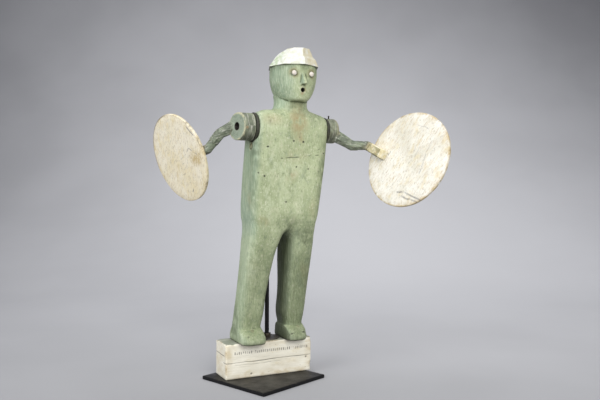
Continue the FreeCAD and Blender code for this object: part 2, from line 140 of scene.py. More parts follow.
def blob(co, centre, radii):
    """1 at centre, falling smoothly to 0 at radii mm away."""
    return fall(np.linalg.norm((co - np.asarray(centre, float)) / np.asarray(radii, float), axis=1), 0, 1)


def blobs(co, rows, power=1):
    """The strongest at each point of several blobs given as centre, radii and amount."""
    return most(*(amount * blob(co, centre, radii) ** power for centre, radii, amount in rows))


def aside(co, centre, axis, here=True):
    """Distance from the line through centre along an axis, or far off where here is false."""
    away = np.delete(co - centre, axis, 1)
    return np.where(here, np.hypot(away[:, 0], away[:, 1]), FAR)


def nearest(co, a, b):
    """The nearest place to each point on the straight line between a and b."""
    a, b = np.asarray(a, float), np.asarray(b, float)
    t = np.clip((co - a) @ (b - a) / ((b - a) @ (b - a)), 0, 1)
    return a + t[:, None] * (b - a)


def wobble(co, seed):
    """The points moved about a little, so that straight lines come out shaky."""
    return co + 1.2 * np.stack([noise(co, 9, seed + k) for k in range(3)], -1)


def line(co, a, b, width):
    """1 on a thin scratch from a to b, 0 off it."""
    return fall(np.linalg.norm(co - nearest(co, a, b), axis=1), width * 0.35, width)


def unit(v):
    v = np.asarray(v, float)
    return v / np.linalg.norm(v)


# ---------- meshes
def link(data, name):
    obj = bpy.data.objects.new(name, data)
    SCENE.collection.objects.link(obj)
    return obj


def settle(obj):
    """Applies all of obj's modifiers."""
    bpy.context.view_layer.update()
    mesh = bpy.data.meshes.new_from_object(obj.evaluated_get(bpy.context.evaluated_depsgraph_get()))
    obj.modifiers.clear()
    old = obj.data
    obj.data = mesh
    bpy.data.meshes.remove(old)


def from_arrays(name, verts, faces):
    mesh = bpy.data.meshes.new(name)
    mesh.from_pydata((np.asarray(verts) * MM).tolist(), [], faces)
    mesh.validate()
    return link(mesh, name)


def copy_of(node, name, voxel):
    """A new piece that starts as a copy of a CAD node's skin, remeshed evenly."""
    mesh = NODES[node].data.copy()
    work = bmesh.new()
    work.from_mesh(mesh)
    bmesh.ops.remove_doubles(work, verts=work.verts, dist=2e-6)
    work.to_mesh(mesh)
    work.free()
    mesh.materials.clear()
    obj = link(mesh, name)
    even = obj.modifiers.new("even", "REMESH")
    even.mode = "VOXEL"
    even.voxel_size = voxel * MM
    settle(obj)
    return obj


def bore(obj, bottom, top, radius):
    """Drills an upright round hole on the rod's axis."""
    work = bmesh.new()
    bmesh.ops.create_cone(work, cap_ends=True, segments=40, radius1=radius * MM, radius2=radius * MM,
                          depth=(top - bottom) * MM)
    mesh = bpy.data.meshes.new("drill")
    work.to_mesh(mesh)
    work.free()
    drill = link(mesh, "drill")
    drill.location.z = (bottom + top) / 2 * MM
    cut = obj.modifiers.new("bore", "BOOLEAN")
    cut.operation = "DIFFERENCE"
    cut.solver = "MANIFOLD"
    cut.object = drill
    settle(obj)
    bpy.data.objects.remove(drill)


def read(obj):
    """Vertex positions in mm and their normals."""
    vertices = obj.data.vertices
    values = np.zeros((2, len(vertices) * 3), np.float32)
    vertices.foreach_get("co", values[0])
    vertices.foreach_get("normal", values[1])
    co, normals = values.reshape(2, -1, 3).astype(float)
    return co / MM, normals


def write(obj, co):
    obj.data.vertices.foreach_set("co", (co * MM).astype(np.float32).ravel())
    obj.data.update()


def edges_of(obj):
    pairs = np.zeros(len(obj.data.edges) * 2, np.int32)
    obj.data.edges.foreach_get("vertices", pairs)
    return pairs.reshape(-1, 2)


def spread(values, edges, times):
    """Averages a value with its neighbours' over the mesh, a number of times."""
    values = np.asarray(values, float)
    if values.ndim > 1:
        return np.stack([spread(column, edges, times) for column in values.T], -1)
    first, second = edges.T
    count = np.maximum(np.bincount(edges.ravel(), minlength=len(values)), 1)
    for _ in range(times):
        total = np.bincount(first, values[second], len(values)) + np.bincount(second, values[first], len(values))
        values = 0.5 * values + 0.5 * total / count
    return values


def relax(obj, times, weight=1):
    """Rounds the form off where weight is 1."""
    co, _ = read(obj)
    edges = edges_of(obj)
    for _ in range(times):
        co = co + np.reshape(weight, (-1, 1)) * (spread(co, edges, 1) - co)
    write(obj, co)


def bend(obj, reach):
    """How much each vertex stands out of (+) or sinks into (-) its surroundings, in mm."""
    co, normals = read(obj)
    return ((co - spread(co, edges_of(obj), reach)) * normals).sum(1)


def spun(profile, count=24, closed=False):
    """Skin turned about Z from (radius, height) pairs. Its ends meet each other if closed, or the axis."""
    angles = np.arange(count) * 2 * math.pi / count
    rings = np.array(profile, float)
    rows, last = len(rings), (len(rings) - 1) * count
    co = np.stack([rings[:, 0, None] * np.cos(angles), rings[:, 0, None] * np.sin(angles),
                       np.repeat(rings[:, 1, None], count, 1)], -1).reshape(-1, 3)
    faces = []
    for k, i in itertools.product(range(rows if closed else rows - 1), range(count)):
        here, above, j = k * count, (k + 1) % rows * count, (i + 1) % count
        faces.append((here + i, here + j, above + j, above + i))
    if not closed:
        low, high = len(co), len(co) + 1
        co = np.vstack([co, [(0, 0, rings[0, 1]), (0, 0, rings[-1, 1])]])
        for i in range(count):
            j = (i + 1) % count
            faces += [(low, j, i), (high, last + i, last + j)]
    return co, faces


def layers(obj, grain, **masks):
    """Stores each vertex's place in the wood's grain, in mm, and masks from 0 to 1 for the material."""
    attributes = obj.data.attributes
    attributes.new("grain", "FLOAT_VECTOR", "POINT").data.foreach_set("vector", grain.astype(np.float32).ravel())
    for name, values in masks.items():
        values = np.clip(values, 0, 1).astype(np.float32)
        attributes.new(name, "FLOAT", "POINT").data.foreach_set("value", values)


def show(obj, body, material, slot, *nodes):
    """Finishes a piece: its material, the body it rides on and the CAD nodes it stands for."""
    obj.data.materials.clear()
    obj.data.materials.append(material)
    obj.data.shade_smooth()
    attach(obj, body)
    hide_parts(*nodes)


# ---------- materials
def srgb(code):
    """A display colour's six-digit hex code, in Blender's linear values."""
    parts = [c / 255 for c in bytes.fromhex(code)]
    return (*(((c + 0.055) / 1.055) ** 2.4 if c > 0.04 else c / 12.92 for c in parts), 1)


class Paint:
    """Wires one procedural material: textures, coats of colour laid over each other, and the shader."""

    def __init__(self, name, space="layer"):
        self.material = bpy.data.materials.new(name)
        self.material.use_nodes = True
        self.tree = self.material.node_tree
        self.shader = self.tree.nodes["Principled BSDF"]
        self.colour = None
        if space == "layer":
            self.place = self.layer("grain", "Vector")
        else:
            scale = self.add("ShaderNodeVectorMath", operation="SCALE")
            self.wire(self.add("ShaderNodeTexCoord").outputs["Object"], scale.inputs[0])
            scale.inputs["Scale"].default_value = 1 / MM
            self.place = scale.outputs[0]

    def add(self, kind, **settings):
        node = self.tree.nodes.new(kind)
        for key, value in settings.items():
            setattr(node, key, value)
        return node

    def wire(self, value, socket):
        if isinstance(value, bpy.types.NodeSocket):
            self.tree.links.new(value, socket)
        else:
            socket.default_value = value

    def layer(self, name, output="Fac"):
        return self.add("ShaderNodeAttribute", attribute_name=name).outputs[output]

    def axes(self):
        """The piece's own coordinates in mm, one by one."""
        node = self.add("ShaderNodeSeparateXYZ")
        self.wire(self.place, node.inputs[0])
        return node.outputs

    def math(self, operation, a, b=0, clamp=False):
        node = self.add("ShaderNodeMath", operation=operation, use_clamp=clamp)
        self.wire(a, node.inputs[0])
        self.wire(b, node.inputs[1])
        return node.outputs[0]

    def times(self, first, *others):
        for other in others:
            first = self.math("MULTIPLY", first, other)
        return first

    def off(self, value, middle):
        """How far the value is from middle."""
        return self.math("ABSOLUTE", self.math("SUBTRACT", value, middle))

    def texture(self, kind, size, shift, **settings):
        """A texture in the piece's own coordinates, with features size mm across, one number or three."""
        sizes = (size,) * 3 if isinstance(size, (int, float)) else size
        place = self.add("ShaderNodeMapping")
        self.wire(self.place, place.inputs["Vector"])
        place.inputs["Scale"].default_value = [1 / s for s in sizes]
        place.inputs["Location"].default_value = (shift, shift * 1.7, shift * 0.6)
        node = self.add(kind, **settings)
        self.wire(place.outputs[0], node.inputs["Vector"])
        node.inputs["Scale"].default_value = 1
        return node

    def noise(self, size, detail=4, rough=0.6, shift=0, warp=0):
        node = self.texture("ShaderNodeTexNoise", size, shift)
        for key, number in (("Detail", detail), ("Roughness", rough), ("Distortion", warp)):
            node.inputs[key].default_value = number
        return node.outputs["Fac"]

    def crackle(self, size, shift, feature="F1"):
        return self.texture("ShaderNodeTexVoronoi", size, shift, feature=feature).outputs["Distance"]

    def range(self, value, low, high, out_low=0, out_high=1):
        node = self.add("ShaderNodeMapRange", interpolation_type="SMOOTHSTEP")
        self.wire(value, node.inputs["Value"])
        for key, number in (("From Min", low), ("From Max", high), ("To Min", out_low), ("To Max", out_high)):
            node.inputs[key].default_value = number
        return node.outputs["Result"]

    def rough(self, texture, low, high):
        return self.range(texture, 0.3, 0.7, low, high)

    def mix(self, a, b, fac):
        node = self.add("ShaderNodeMix", data_type="RGBA")
        for value, k in ((fac, 0), (a, 6), (b, 7)):
            self.wire(value, node.inputs[k])
        return node.outputs[2]

    def base(self, dark, light, texture, low, high):
        """Starts with two colours, from dark where the texture is at low to light at high."""
        self.colour = self.mix(srgb(dark), srgb(light), self.range(texture, low, high))

    def over(self, code, mask):
        self.colour = self.mix(self.colour, srgb(code), mask)

    def coat(self, code, texture, low, high, amount=1):
        """Lays a colour over the last ones, from none where the texture is at low to amount at high."""
        self.over(code, self.range(texture, low, high, 0, amount))

    def broken(self, name, texture, low, high, least=0):
        """A layer's mask, weakened to least of itself where the texture is at low."""
        return self.times(self.layer(name), self.range(texture, low, high, least, 1))

    def worn(self, code, name, *texture):
        """Lays a colour over the last ones where a layer says so, broken up by a texture if one is given."""
        self.over(code, self.broken(name, *texture) if texture else self.layer(name))

    def finish(self, rough, *bumps, metallic=0, specular=0.4):
        """Sets the shader. bumps are (height, distance in mm) pairs."""
        inputs = self.shader.inputs
        self.wire(self.colour, inputs["Base Color"])
        self.wire(rough, inputs["Roughness"])
        inputs["Metallic"].default_value = metallic
        inputs["Specular IOR Level"].default_value = specular
        target = inputs["Normal"]
        for height, distance in reversed(bumps):
            node = self.add("ShaderNodeBump")
            node.inputs["Distance"].default_value = distance * MM
            node.inputs["Strength"].default_value = 1
            self.wire(height, node.inputs["Height"])
            self.wire(node.outputs[0], target)
            target = node.inputs["Normal"]
        return self.material


def sage_paint():
    p = Paint("sage_paint")
    broad = p.noise((34, 34, 60), 5)
    patch = p.noise((9, 9, 15), 5, 0.62, 3.1)
    mottle = p.noise((2.4, 2.4, 3.8), 4, 0.68, 12.3)
    fine = p.noise(1.1, 3, 0.6, 7.7)
    streak = p.noise((1.5, 1.5, 24), 4, 0.6, 1.3, 0.15)
    brush = p.noise((0.7, 0.7, 40), 2, 0.5, 5.9)
    p.base("98a37d", "aeb892", broad, 0.38, 0.62)
    p.coat("bec1a2", patch, 0.52, 0.7, 0.55)
    p.coat("7e8b70", patch, 0.47, 0.3, 0.65)
    p.coat("d0d0b8", mottle, 0.54, 0.7, 0.7)
    p.coat("687256", mottle, 0.46, 0.3, 0.72)
    p.coat("768062", streak, 0.52, 0.74, 0.42)
    p.coat("bec2a0", brush, 0.55, 0.75, 0.3)
    # painted shade: the sides and back are cooler and darker, with pale streaks
    cool = p.broken("cool", broad, 0.3, 0.6, 0.6)
    p.over("7f9481", cool)
    p.over("bcc6ac", p.times(cool, p.range(streak, 0.52, 0.34)))
    p.worn("94845c", "stain", patch, 0.36, 0.6, 0.25)
    p.worn("c8d0b0", "wear", fine, 0.35, 0.6, 0.3)
    flecks = p.range(p.crackle(5.5, 2.2), 0.085, 0.05)
    p.over("56503a", p.times(flecks, p.range(p.noise(26, 2, 0.5, 9), 0.52, 0.62), 0.75))
    p.worn("434e33", "dirt", streak, 0.3, 0.6, 0.65)
    p.worn("964832", "red")
    p.worn("2e2c22", "mark")
    rough = p.math("ADD", p.rough(patch, 0.44, 0.62), p.times(p.layer("dirt"), 0.2), clamp=True)
    return p.finish(rough, (streak, 0.35), (fine, 0.12), (brush, 0.12))


TICK_Z, TICK_STEP = 41.8, 3.2


def ticks(p):
    """Mask of one row of short plain ticks near the top of the block's front."""
    x, y, z = p.axes()
    tick = p.range(p.off(p.math("FRACT", p.math("DIVIDE", x, TICK_STEP)), 0.5), 0.26, 0.18)
    row = p.range(p.off(z, TICK_Z), 2.2, 1.7)
    front = p.range(y, BLOCK_LOW[1] + 1, BLOCK_LOW[1] + 0.4)
    worn = p.range(p.noise((3.4, 9, 9), 2, 0.5, 5.5), 0.36, 0.5)
    return p.times(tick, row, front, p.range(x, -62, -60), p.range(x, 59, 57), worn, 0.78)


def cream_paint():
    p = Paint("cream_block_paint")
    broad = p.noise((60, 40, 22), 5)
    patch = p.noise((16, 12, 7), 5, 0.62, 4.4)
    fine = p.noise(1.3, 3, 0.6, 2.2)
    streak = p.noise((26, 3, 1.4), 4, 0.6, 1.9, 0.2)
    p.base("ddd8c7", "ebe7d8", broad, 0.36, 0.62)
    p.coat("d6caa6", patch, 0.54, 0.72, 0.55)
    p.coat("b8b5a6", streak, 0.54, 0.74, 0.5)
    p.worn("b6a070", "stain", patch, 0.34, 0.6, 0.3)
    p.worn("767e6e", "cool", patch, 0.3, 0.6, 0.7)
    p.worn("96825c", "wear", fine, 0.38, 0.55)
    chips = p.range(p.crackle((9, 6, 3.4), 5), 0.12, 0.07)
    p.over("786c54", p.times(chips, p.range(p.noise(30, 2, 0.5, 2), 0.5, 0.6), 0.7))
    p.worn("706854", "dirt")
    p.worn("342f28", "mark")
    p.over("423c36", ticks(p))
    return p.finish(p.rough(patch, 0.5, 0.7), (streak, 0.3), (fine, 0.12))


def arm_paint():
    p = Paint("worn_arm_paint")
    patch = p.noise((7, 7, 11), 5, 0.65, 8.1)
    fine = p.noise(1.4, 3, 0.6, 3.3)
    streak = p.noise((1.4, 1.4, 18), 4, 0.6, 6.3, 0.2)
    rubbed = p.noise((1.8, 1.8, 9), 4, 0.65, 21, 0.3)
    p.base("d0c49e", "e0dac4", patch, 0.4, 0.6)
    p.coat("a88e5c", streak, 0.55, 0.75, 0.6)
    p.worn("9e966c", "stain")
    cream = p.colour
    p.base("5a6352", "7e8872", patch, 0.4, 0.6)
    p.coat("42463a", streak, 0.5, 0.7, 0.7)
    p.coat("bebeb2", rubbed, 0.52, 0.66, 0.72)
    p.worn("8a9684", "cool", patch, 0.3, 0.6, 0.7)
    p.worn("86765c", "stain", patch, 0.34, 0.6, 0.4)
    p.colour = p.mix(p.colour, cream, p.layer("cream"))
    p.worn("beb896", "wear", fine, 0.36, 0.58, 0.25)
    p.worn("3a382a", "dirt")
    p.worn("1e1a14", "mark")
    return p.finish(p.rough(patch, 0.45, 0.65), (streak, 0.4), (fine, 0.15))


def paddle_paint(name, base, pale, yellow):
    p = Paint(name)
    broad = p.noise((40, 40, 60), 4)
    patch = p.noise((10, 10, 18), 5, 0.62, 3.4)
    fine = p.noise(1.2, 3, 0.6, 2.2)
    streak = p.noise((1.6, 1.6, 34), 4, 0.62, 1.1, 0.12)
    stroke = p.noise((0.9, 0.9, 9), 3, 0.6, 27)
    mottle = p.noise((1.8, 1.8, 3.2), 4, 0.65, 14)
    p.base(base, pale, broad, 0.36, 0.6)
    p.coat(yellow, patch, 0.48, 0.7, 0.6)
    p.coat("a09c8a", mottle, 0.53, 0.7, 0.75)
    p.coat("b8a882", streak, 0.56, 0.76, 0.42)
    p.coat("a68a66", stroke, 0.54, 0.7, 0.7)
    p.worn("b09860", "stain", mottle, 0.36, 0.6, 0.3)
    p.worn("b09862", "wear", fine, 0.34, 0.56, 0.2)
    p.worn("5c5442", "dirt")
    p.worn("3a3e4e", "mark")
    return p.finish(p.rough(patch, 0.48, 0.66), (streak, 0.3), (fine, 0.1))


def cap_paint():
    p = Paint("white_cap_paint")
    patch = p.noise((8, 8, 6), 5, 0.62, 1.4)
    fine = p.noise(1.2, 3, 0.6, 2.9)
    mottle = p.noise((2.2, 2.2, 3), 4, 0.65, 6.6)
    p.base("d4d5ce", "c8c7b8", patch, 0.42, 0.64)
    p.coat("b6bea0", mottle, 0.52, 0.72, 0.6)
    p.worn("a0b08e", "stain", patch, 0.36, 0.58, 0.2)
    p.worn("c0b080", "yellow")
    p.worn("c4ba8c", "wear", fine, 0.36, 0.58, 0.2)
    p.worn("545442", "dirt")
    return p.finish(p.rough(patch, 0.45, 0.62), (patch, 0.25), (fine, 0.12))


def black_steel(name, dull, side_height):
    """Black painted steel. Below side_height, in mm, it is painted blacker: painted shade on the plate's sides;
    on the rod, with side_height set high, the steel is simply blacker.
    """
    p = Paint(name, "object")
    broad = p.noise(28, 5)
    fine = p.noise(0.9, 3, 0.6, 5)
    scuff = p.noise((14, 1.2, 14), 4, 0.65, 2, 0.4)
    p.base("0c0c0d", "181716", broad, 0.36, 0.64)
    p.coat("6e665c", scuff, 0.54, 0.74, 0.5)
    p.coat("463c32", p.noise(5, 4, 0.6, 8), 0.62, 0.76, 0.5)
    p.coat("09090c", p.axes()[2], side_height + 0.3, side_height, 0.85)
    return p.finish(p.rough(broad, dull - 0.1, dull + 0.12), (fine, 0.05), (scuff, 0.04), specular=0.22)


def metal(name, dark, light, rust, shine, rough):
    p = Paint(name, "object")
    patch = p.noise(3.5, 5, 0.62)
    fine = p.noise(0.5, 3, 0.6, 4)
    p.base(dark, light, patch, 0.36, 0.62)
    p.coat(rust, fine, 0.5, 0.66, 0.8)
    return p.finish(p.rough(patch, rough - 0.12, rough + 0.2), (fine, 0.08), metallic=shine)


def oiled_leather():
    p = Paint("oiled_leather", "object")
    patch = p.noise(5, 5, 0.62)
    grain = p.crackle(0.9, 1, "DISTANCE_TO_EDGE")
    p.base("2c2e24", "424234", patch, 0.36, 0.62)
    p.coat("1e1e18", grain, 0.12, 0.02, 0.8)
    return p.finish(p.rough(patch, 0.5, 0.7), (grain, 0.12), (patch, 0.2))


def eye_paint():
    p = Paint("eye_enamel", "object")
    patch = p.noise(1.6, 4)
    fine = p.noise(0.4, 3, 0.6, 3)
    p.base("ded8d0", "c6baac", patch, 0.42, 0.62)
    p.coat("68503e", fine, 0.58, 0.7, 0.6)
    return p.finish(p.rough(patch, 0.35, 0.55), (fine, 0.06))


# ---------- figure
# a knot in the wood under the right shoulder
KNOT = np.array([-44, -43.5, 339])
# scratches in the chest and shoes: start, end, width, depth
CUTS = (
    ((-43.2, -55, 338.2), (-26.2, -63.5, 337.9), 1.1, 0.5),
    ((-5.3, -61.4, 322.6), (53.6, -62, 327.9), 0.9, 0.35), ((50, -64, 345.5), (56, -63.5, 337), 0.9, 0.3),
    ((56, -63.5, 337), (49, -64, 333.5), 0.9, 0.3), ((-51, -36, 76.5), (-46.5, -41.5, 67.5), 1.3, 0.9),
    ((-46.5, -41.5, 67.5), (-41, -36, 75), 1.3, 0.9), ((19, -38, 67), (51, -38.5, 66), 1.6, 0.9),
    ((24, -66.5, 368), (22, -66, 352), 1.2, 0.2))
# nail holes and dents: centre, radius, depth
PITS = (
    ((13.1, -64.9, 347.1), 1.7, 1.2), ((28.1, -64.8, 346.3), 1.9, 1.4), ((63, -61.4, 331.1), 1.7, 1.2),
    ((19.6, -59.9, 310.5), 1.5, 1), ((39, -59.6, 308), 1.4, 0.9), ((-38.3, -57.4, 301.1), 1.4, 0.8),
    ((-29.2, -58.3, 296.7), 1.9, 0.8), ((-26.2, -63.5, 337.9), 1.8, 1.2), ((6.2, -54, 260.1), 1.6, 0.8),
    ((-12, 6, 262), 1.8, 1), ((34, 5, 268), 1.6, 1), ((44, -7, 330), 1.6, 1))
# pale places on the chest, belly, hips and legs, partly rubbed paint and partly painted light: centre, radii,
# amount
RUBBED_AND_LIT = (
    ((27, -53, 252), (15, 14, 18), 0.4), ((28, -55, 266), (12, 10, 14), 0.3),
    ((-18, -58, 316), (18, 18, 48), 0.8), ((-23, -52, 262), (18, 18, 48), 0.75),
    ((0, -56, 268), (18, 10, 24), 0.45), ((-26, -50, 226), (12, 12, 16), 0.3),
    ((-40, -34, 120), (10, 12, 30), 0.3), ((20, -60, 385), (26, 14, 12), 0.25),
    ((-22, -64, 372), (22, 14, 16), 0.7), ((-39, -33, 176), (15, 18, 70), 0.85),
    ((-45, -30, 264), (9, 16, 34), 0.4), ((8, -60, 292), (46, 14, 50), 0.62),
    ((48, -38, 150), (10, 12, 50), 0.35))
# painted shade, with some grime, in the fork, under the chin, round the washers and down the edges
GRIME_AND_SHADE_BLOBS = (
    ((3, -30, 216), (22, 30, 22), 0.75), ((8, -42, 231), (18, 12, 8), 0.5), ((20, -66, 402), (26, 22, 9), 0.7),
    ((-40, -45, 346), (12, 24, 10), 0.6), ((12, -38, 212), (14, 26, 34), 0.95),
    ((70, -45, 350), (10, 26, 16), 0.5), ((20, -36, 397), (34, 30, 6), 0.3),
    ((-43.7, -43.2, 339), (5, 7, 6), 0.5), ((38, -46, 204), (38, 30, 56), 0.8),
    ((14, -46, 228), (40, 24, 26), 0.55), ((20, -60, 394), (34, 28, 16), 0.5),
    ((-41, -54, 336), (13, 22, 50), 0.8), ((-43, -50, 280), (12, 16, 90), 0.45),
    ((65, -56, 300), (20, 20, 120), 0.6), ((48, -58, 384), (38, 30, 24), 0.6),
    ((-53, -4, 82), (12, 36, 54), 0.75), ((-16, -28, 112), (15, 20, 70), 0.6))
STAINED = (
    ((20, -66, 378), (22, 16, 44), 0.95), ((24, -64, 352), (9, 8, 16), 0.8),
    ((14, -58, 300), (14, 8, 18), 0.5), ((18, -60, 330), (34, 8, 26), 0.28),
    ((-28, -51, 232), (13, 10, 14), 0.45), ((-46, -38, 262), (12, 14, 20), 0.3),
    ((50, -55, 250), (12, 12, 26), 0.25), ((-40, -36, 160), (12, 14, 26), 0.25),
    ((44, -36, 150), (12, 14, 36), 0.4), ((14, -60, 398), (16, 14, 8), 0.4), ((30, -84, 430), (7, 7, 9), 0.2))


def centre_of(node):
    low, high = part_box(node)
    return (np.array(low) + np.array(high)) / 2 / MM


def off_seats(co):
    """0 on and near the flat seats of the shoulder washers, 1 elsewhere."""
    x = co[:, 0]
    return 1 - fall(aside(co, AXLE, 0), 22.5, 26) * ((x < -30) | (x > 60))


def reaches(co):
    """Distances over the surface from the nearer eye, the mouth and the knot."""
    face = co[:, 1] < FACE_Y
    eyes = np.minimum(*(aside(co, centre_of("eye_nail_" + side), 1, face) for side in SIDES))
    return eyes, aside(co, MOUTH, 1, face), aside(co, KNOT, 0, co[:, 0] < -38)


def hollow_legs(obj):
    """Pares the left leg's inner front edge away, up to the fork's arch, and trims the heel under it."""
    co, _ = read(obj)
    x, y, z = co.T
    left = x > 14.5
    leg = left * rise(z, 84, 130) * fall(z, 216, 232)
    depth = (3 + 3.5 * rise(z, 170, 205)) * fall(x, 18, 44) * leg * fall(y, -34, -8)
    y += depth
    x += 0.25 * depth
    heel = left * rise(y, 2, 16) * fall(x, 18, 36)
    x += heel * (1.3 * fall(z, 62, 74) - 1.8 * rise(z, 70, 82) * fall(z, 110, 150))
    write(obj, co)


def carved_figure():
    obj = copy_of("body", "carved_figure", 0.9)
    hollow_legs(obj)
    # the carver blended the trunk into the legs, the legs into the shoes and the neck into the shoulders
    co, _ = read(obj)
    z = co[:, 2]
    relax(obj, 40, 0.9 * rise(z, 66, 92) * fall(z, 398, 405) * off_seats(co))
    co, _ = read(obj)
    z = co[:, 2]
    relax(obj, 130, most(band(z, 219, 18), band(z, 389, 11)) * off_seats(co))
    relax(obj, 12, 0.9 * band(z, 75.5, 6))
    relax(obj, 3)
    co, normals = read(obj)
    z = co[:, 2]
    eyes, _, knot = reaches(co)
    in_head = rise(z, 404, 416) * fall(z, 452, 457)
    shoe = fall(z, 74, 82)
    shift = 0.45 * fbm(co, (30, 30, 60), 1, 2) + 0.35
    shift += 0.28 * (facets(co, (12, 12, 26), 5) - 0.35) * (1 - in_head) * (1 - shoe)
    shift += 0.7 * (facets(co, (8, 8, 9), 11) - 0.4) * most(in_head * 0.45, shoe)
    shift += 0.07 * fbm(co, (1.8, 1.8, 22), 3, 3)
    # the parts that metal or wood rests on stay true
    shift = np.minimum(shift, 0.8) * off_seats(co) * rise(z, 56.2, 59) * fall(z, 454, 457)
    # sockets round the nail heads of the eyes
    shift -= 0.5 * seam(eyes - EYE_R - 0.6, 0.4, 2.4)
    shift -= 0.6 * band(knot, 4, 1.8)
    shaky = wobble(co, 90)
    for a, b, width, depth in CUTS:
        shift -= depth * line(shaky, a, b, width)
    for centre, radius, depth in PITS:
        shift -= depth * blob(co, centre, radius)
    write(obj, co + normals * shift[:, None])
    # facets and dents are kept where they are; flat stretches lose faces
    obj.modifiers.new("thin", "DECIMATE").ratio = 0.46
    settle(obj)
    paint_figure(obj)
    show(obj, "figure", sage_paint(), "green_wood", "body")


def paint_figure(obj):
    co, normals = read(obj)
    x, _, z = co.T
    to_right, to_back = -normals[:, 0], normals[:, 1]
    curve, wide = bend(obj, 14), bend(obj, 40)
    rough = fbm(co, 7, 21, 4)
    eyes, mouth, knot = reaches(co)
    # pale on rubbed edges and in the listed places, partly wear and partly painted light
    wear = most(0.75 * rise(curve, 0.05, 0.3) * rise(rough, -0.15, 0.3),
                blobs(co, RUBBED_AND_LIT) * rise(fbm(co, 5, 33, 4), -0.3, 0.35))
    # the left leg's inner side up to the fork, which gets painted shade where the right leg shades it
    inner = rise(x, 8, 14) * fall(z, 205, 232) * most(rise(z, 74, 84), rise(to_right, 0.5, 0.8))
    # painted shade: the trouser fronts and shoes are darker than the shirt, darkening towards the bottom
    shaded_low_front = fall(z, 150, 250) * rise(-to_back, 0, 0.8)
    # painted shade mixed with grime: in hollows and creases, in the listed blobs, low on the fronts, under the
    # cap, between the legs, on the head's right side and round the eyes
    dirt = most((0.45 + 0.4 * rise(z, 78, 90)) * rise(-curve, 0.03, 0.22) + 0.35 * rise(-wide, 0.2, 0.8),
                blobs(co, GRIME_AND_SHADE_BLOBS) * rise(rough, -0.6, 0.2),
                (0.46 + 0.18 * (x > 15)) * shaded_low_front,
                0.1 * fall(z, 120, 240),
                0.6 * rise(z, 438, 453) * rise(rough, -0.8, 0.3),
                0.4 * inner * rise(rough, -1.2, 0.4),
                0.9 * inner * fall(x, 17, 38),
                0.28 * rise(z, 404, 416) * rise(to_right, 0.1, 0.8) * rise(rough, -1.2, 0.4),
                0.6 * band(knot, 4.2, 1.6),
                0.6 * fall(eyes, EYE_R + 1, EYE_R + 5) * rise(rough, -0.7, 0.2))
    stain = most(blobs(co, STAINED), 0.8 * fall(knot, 4, 7), 0.7 * fall(mouth, 3.2, 6.5),
                 0.7 * fall(eyes, EYE_R + 1, EYE_R + 6))
    # painted shade: the sides and the back are painted cooler and darker
    cool = most((0.75 * rise(z, 180, 230)) * rise(to_right, 0.05, 0.95), 0.4 * rise(to_right, 0.1, 0.95),
                0.5 * rise(to_back, 0.1, 0.8))
    red = 0.2 * blob(co, (-20, -64, 376), (26, 14, 14)) + 0.3 * blob(co, (12.6, -58.6, 299.6), (3, 4, 3))
    red += 0.5 * blob(co, MOUTH + (-1, -2, -5.5), (3.2, 5, 4.2))
    # painted shade: a band down the left leg's inner side, and a dark line round the soles where they meet the
    # block
    mark = 0.45 * inner * fall(x, 16.5, 27) + 0.9 * fall(z, 55.7, 57.2) + 0.3 * fall(z, 56.5, 62)
    fade = rise(noise(co, 4, 91), -0.5, 0.3)
    shaky = wobble(co, 90)
    for a, b, width, depth in CUTS:
        mark = most(mark, min(0.9, 0.2 + depth) * fade * line(shaky, a, b, width * 1.1))
    for centre, radius, _ in PITS:
        mark = most(mark, 0.95 * rise(blob(co, centre, radius * 1.15), 0, 0.55))
    mark = most(mark, 0.6 * fall(eyes, EYE_R - 0.2, EYE_R + 1.3) * rise(rough, -0.9, 0), fall(mouth, 2.9, 3.5))
    layers(obj, co, wear=wear, dirt=np.minimum(dirt, 0.9), stain=stain, cool=cool, red=red,
           mark=spread(mark, edges_of(obj), 1))


carved_figure()


# ---------- slabs: the block and the base plate
def grid_lines(low, high, step, *fine):
    """Positions from low to high, step mm apart, and closer inside each fine (from, to, step)."""
    stops = [low]
    while stops[-1] < high - 1e-6:
        here = stops[-1]
        gap = step
        for a, b, close in fine:
            if a - step < here < b:
                gap = close
        stops.append(min(here + gap, high))
    return np.array(stops)


def box_skin(*lines):
    """Closed skin of a box with faces along the given grid lines of its three axes."""
    index, verts, faces = {}, [], []

    def at(cell):
        if cell not in index:
            index[cell] = len(verts)
            verts.append([stops[c] for stops, c in zip(lines, cell)])
        return index[cell]

    for axis in range(3):
        first, second = (axis + 1) % 3, (axis + 2) % 3
        for i, j in itertools.product(range(len(lines[first]) - 1), range(len(lines[second]) - 1)):
            for end, around in ((0, ((0, 0), (0, 1), (1, 1), (1, 0))), (-1, ((0, 0), (1, 0), (1, 1), (0, 1)))):
                face = []
                for a, b in around:
                    cell = {axis: end % len(lines[axis]), first: i + a, second: j + b}
                    face.append(at((cell[0], cell[1], cell[2])))
                faces.append(face)
    return np.array(verts, float), faces


def round_edges(co, low, high, radius):
    """Rolls the box's edges over to radius mm, which may differ from point to point."""
    radius = np.broadcast_to(radius, (len(co),))[:, None]
    core = np.clip(co, np.asarray(low) + radius, np.asarray(high) - radius)
    away = co - core
    length = np.linalg.norm(away, axis=1, keepdims=True)
    reach = np.where(length > 1e-9, radius / np.maximum(length, 1e-9), 0)
    on_flat = (np.abs(away) > 1e-9).sum(1, keepdims=True) <= 1
    return np.where(on_flat, co, core + away * reach)


CRACK_Z, SECOND_CRACK_Z, END_CRACK_Z, BACK_CRACK_Z = 28.4, 24.4, 38.2, 33
BLOCK_HOLES = (((-33.8, -23, 10.5), 1.8), ((54.2, -23, 26.3), 1.7))
BLOCK_STAINS = (
    ((-10, -23, 8), (90, 9, 8), 0.7), ((-70, -23, 30), (9, 14, 36), 0.6), ((62, -23, 28), (12, 14, 34), 0.7),
    ((-20, -23, 52), (80, 6, 7), 0.3), ((-73, 0, 30), (6, 28, 34), 0.5), ((20, -23, 20), (30, 5, 10), 0.35))


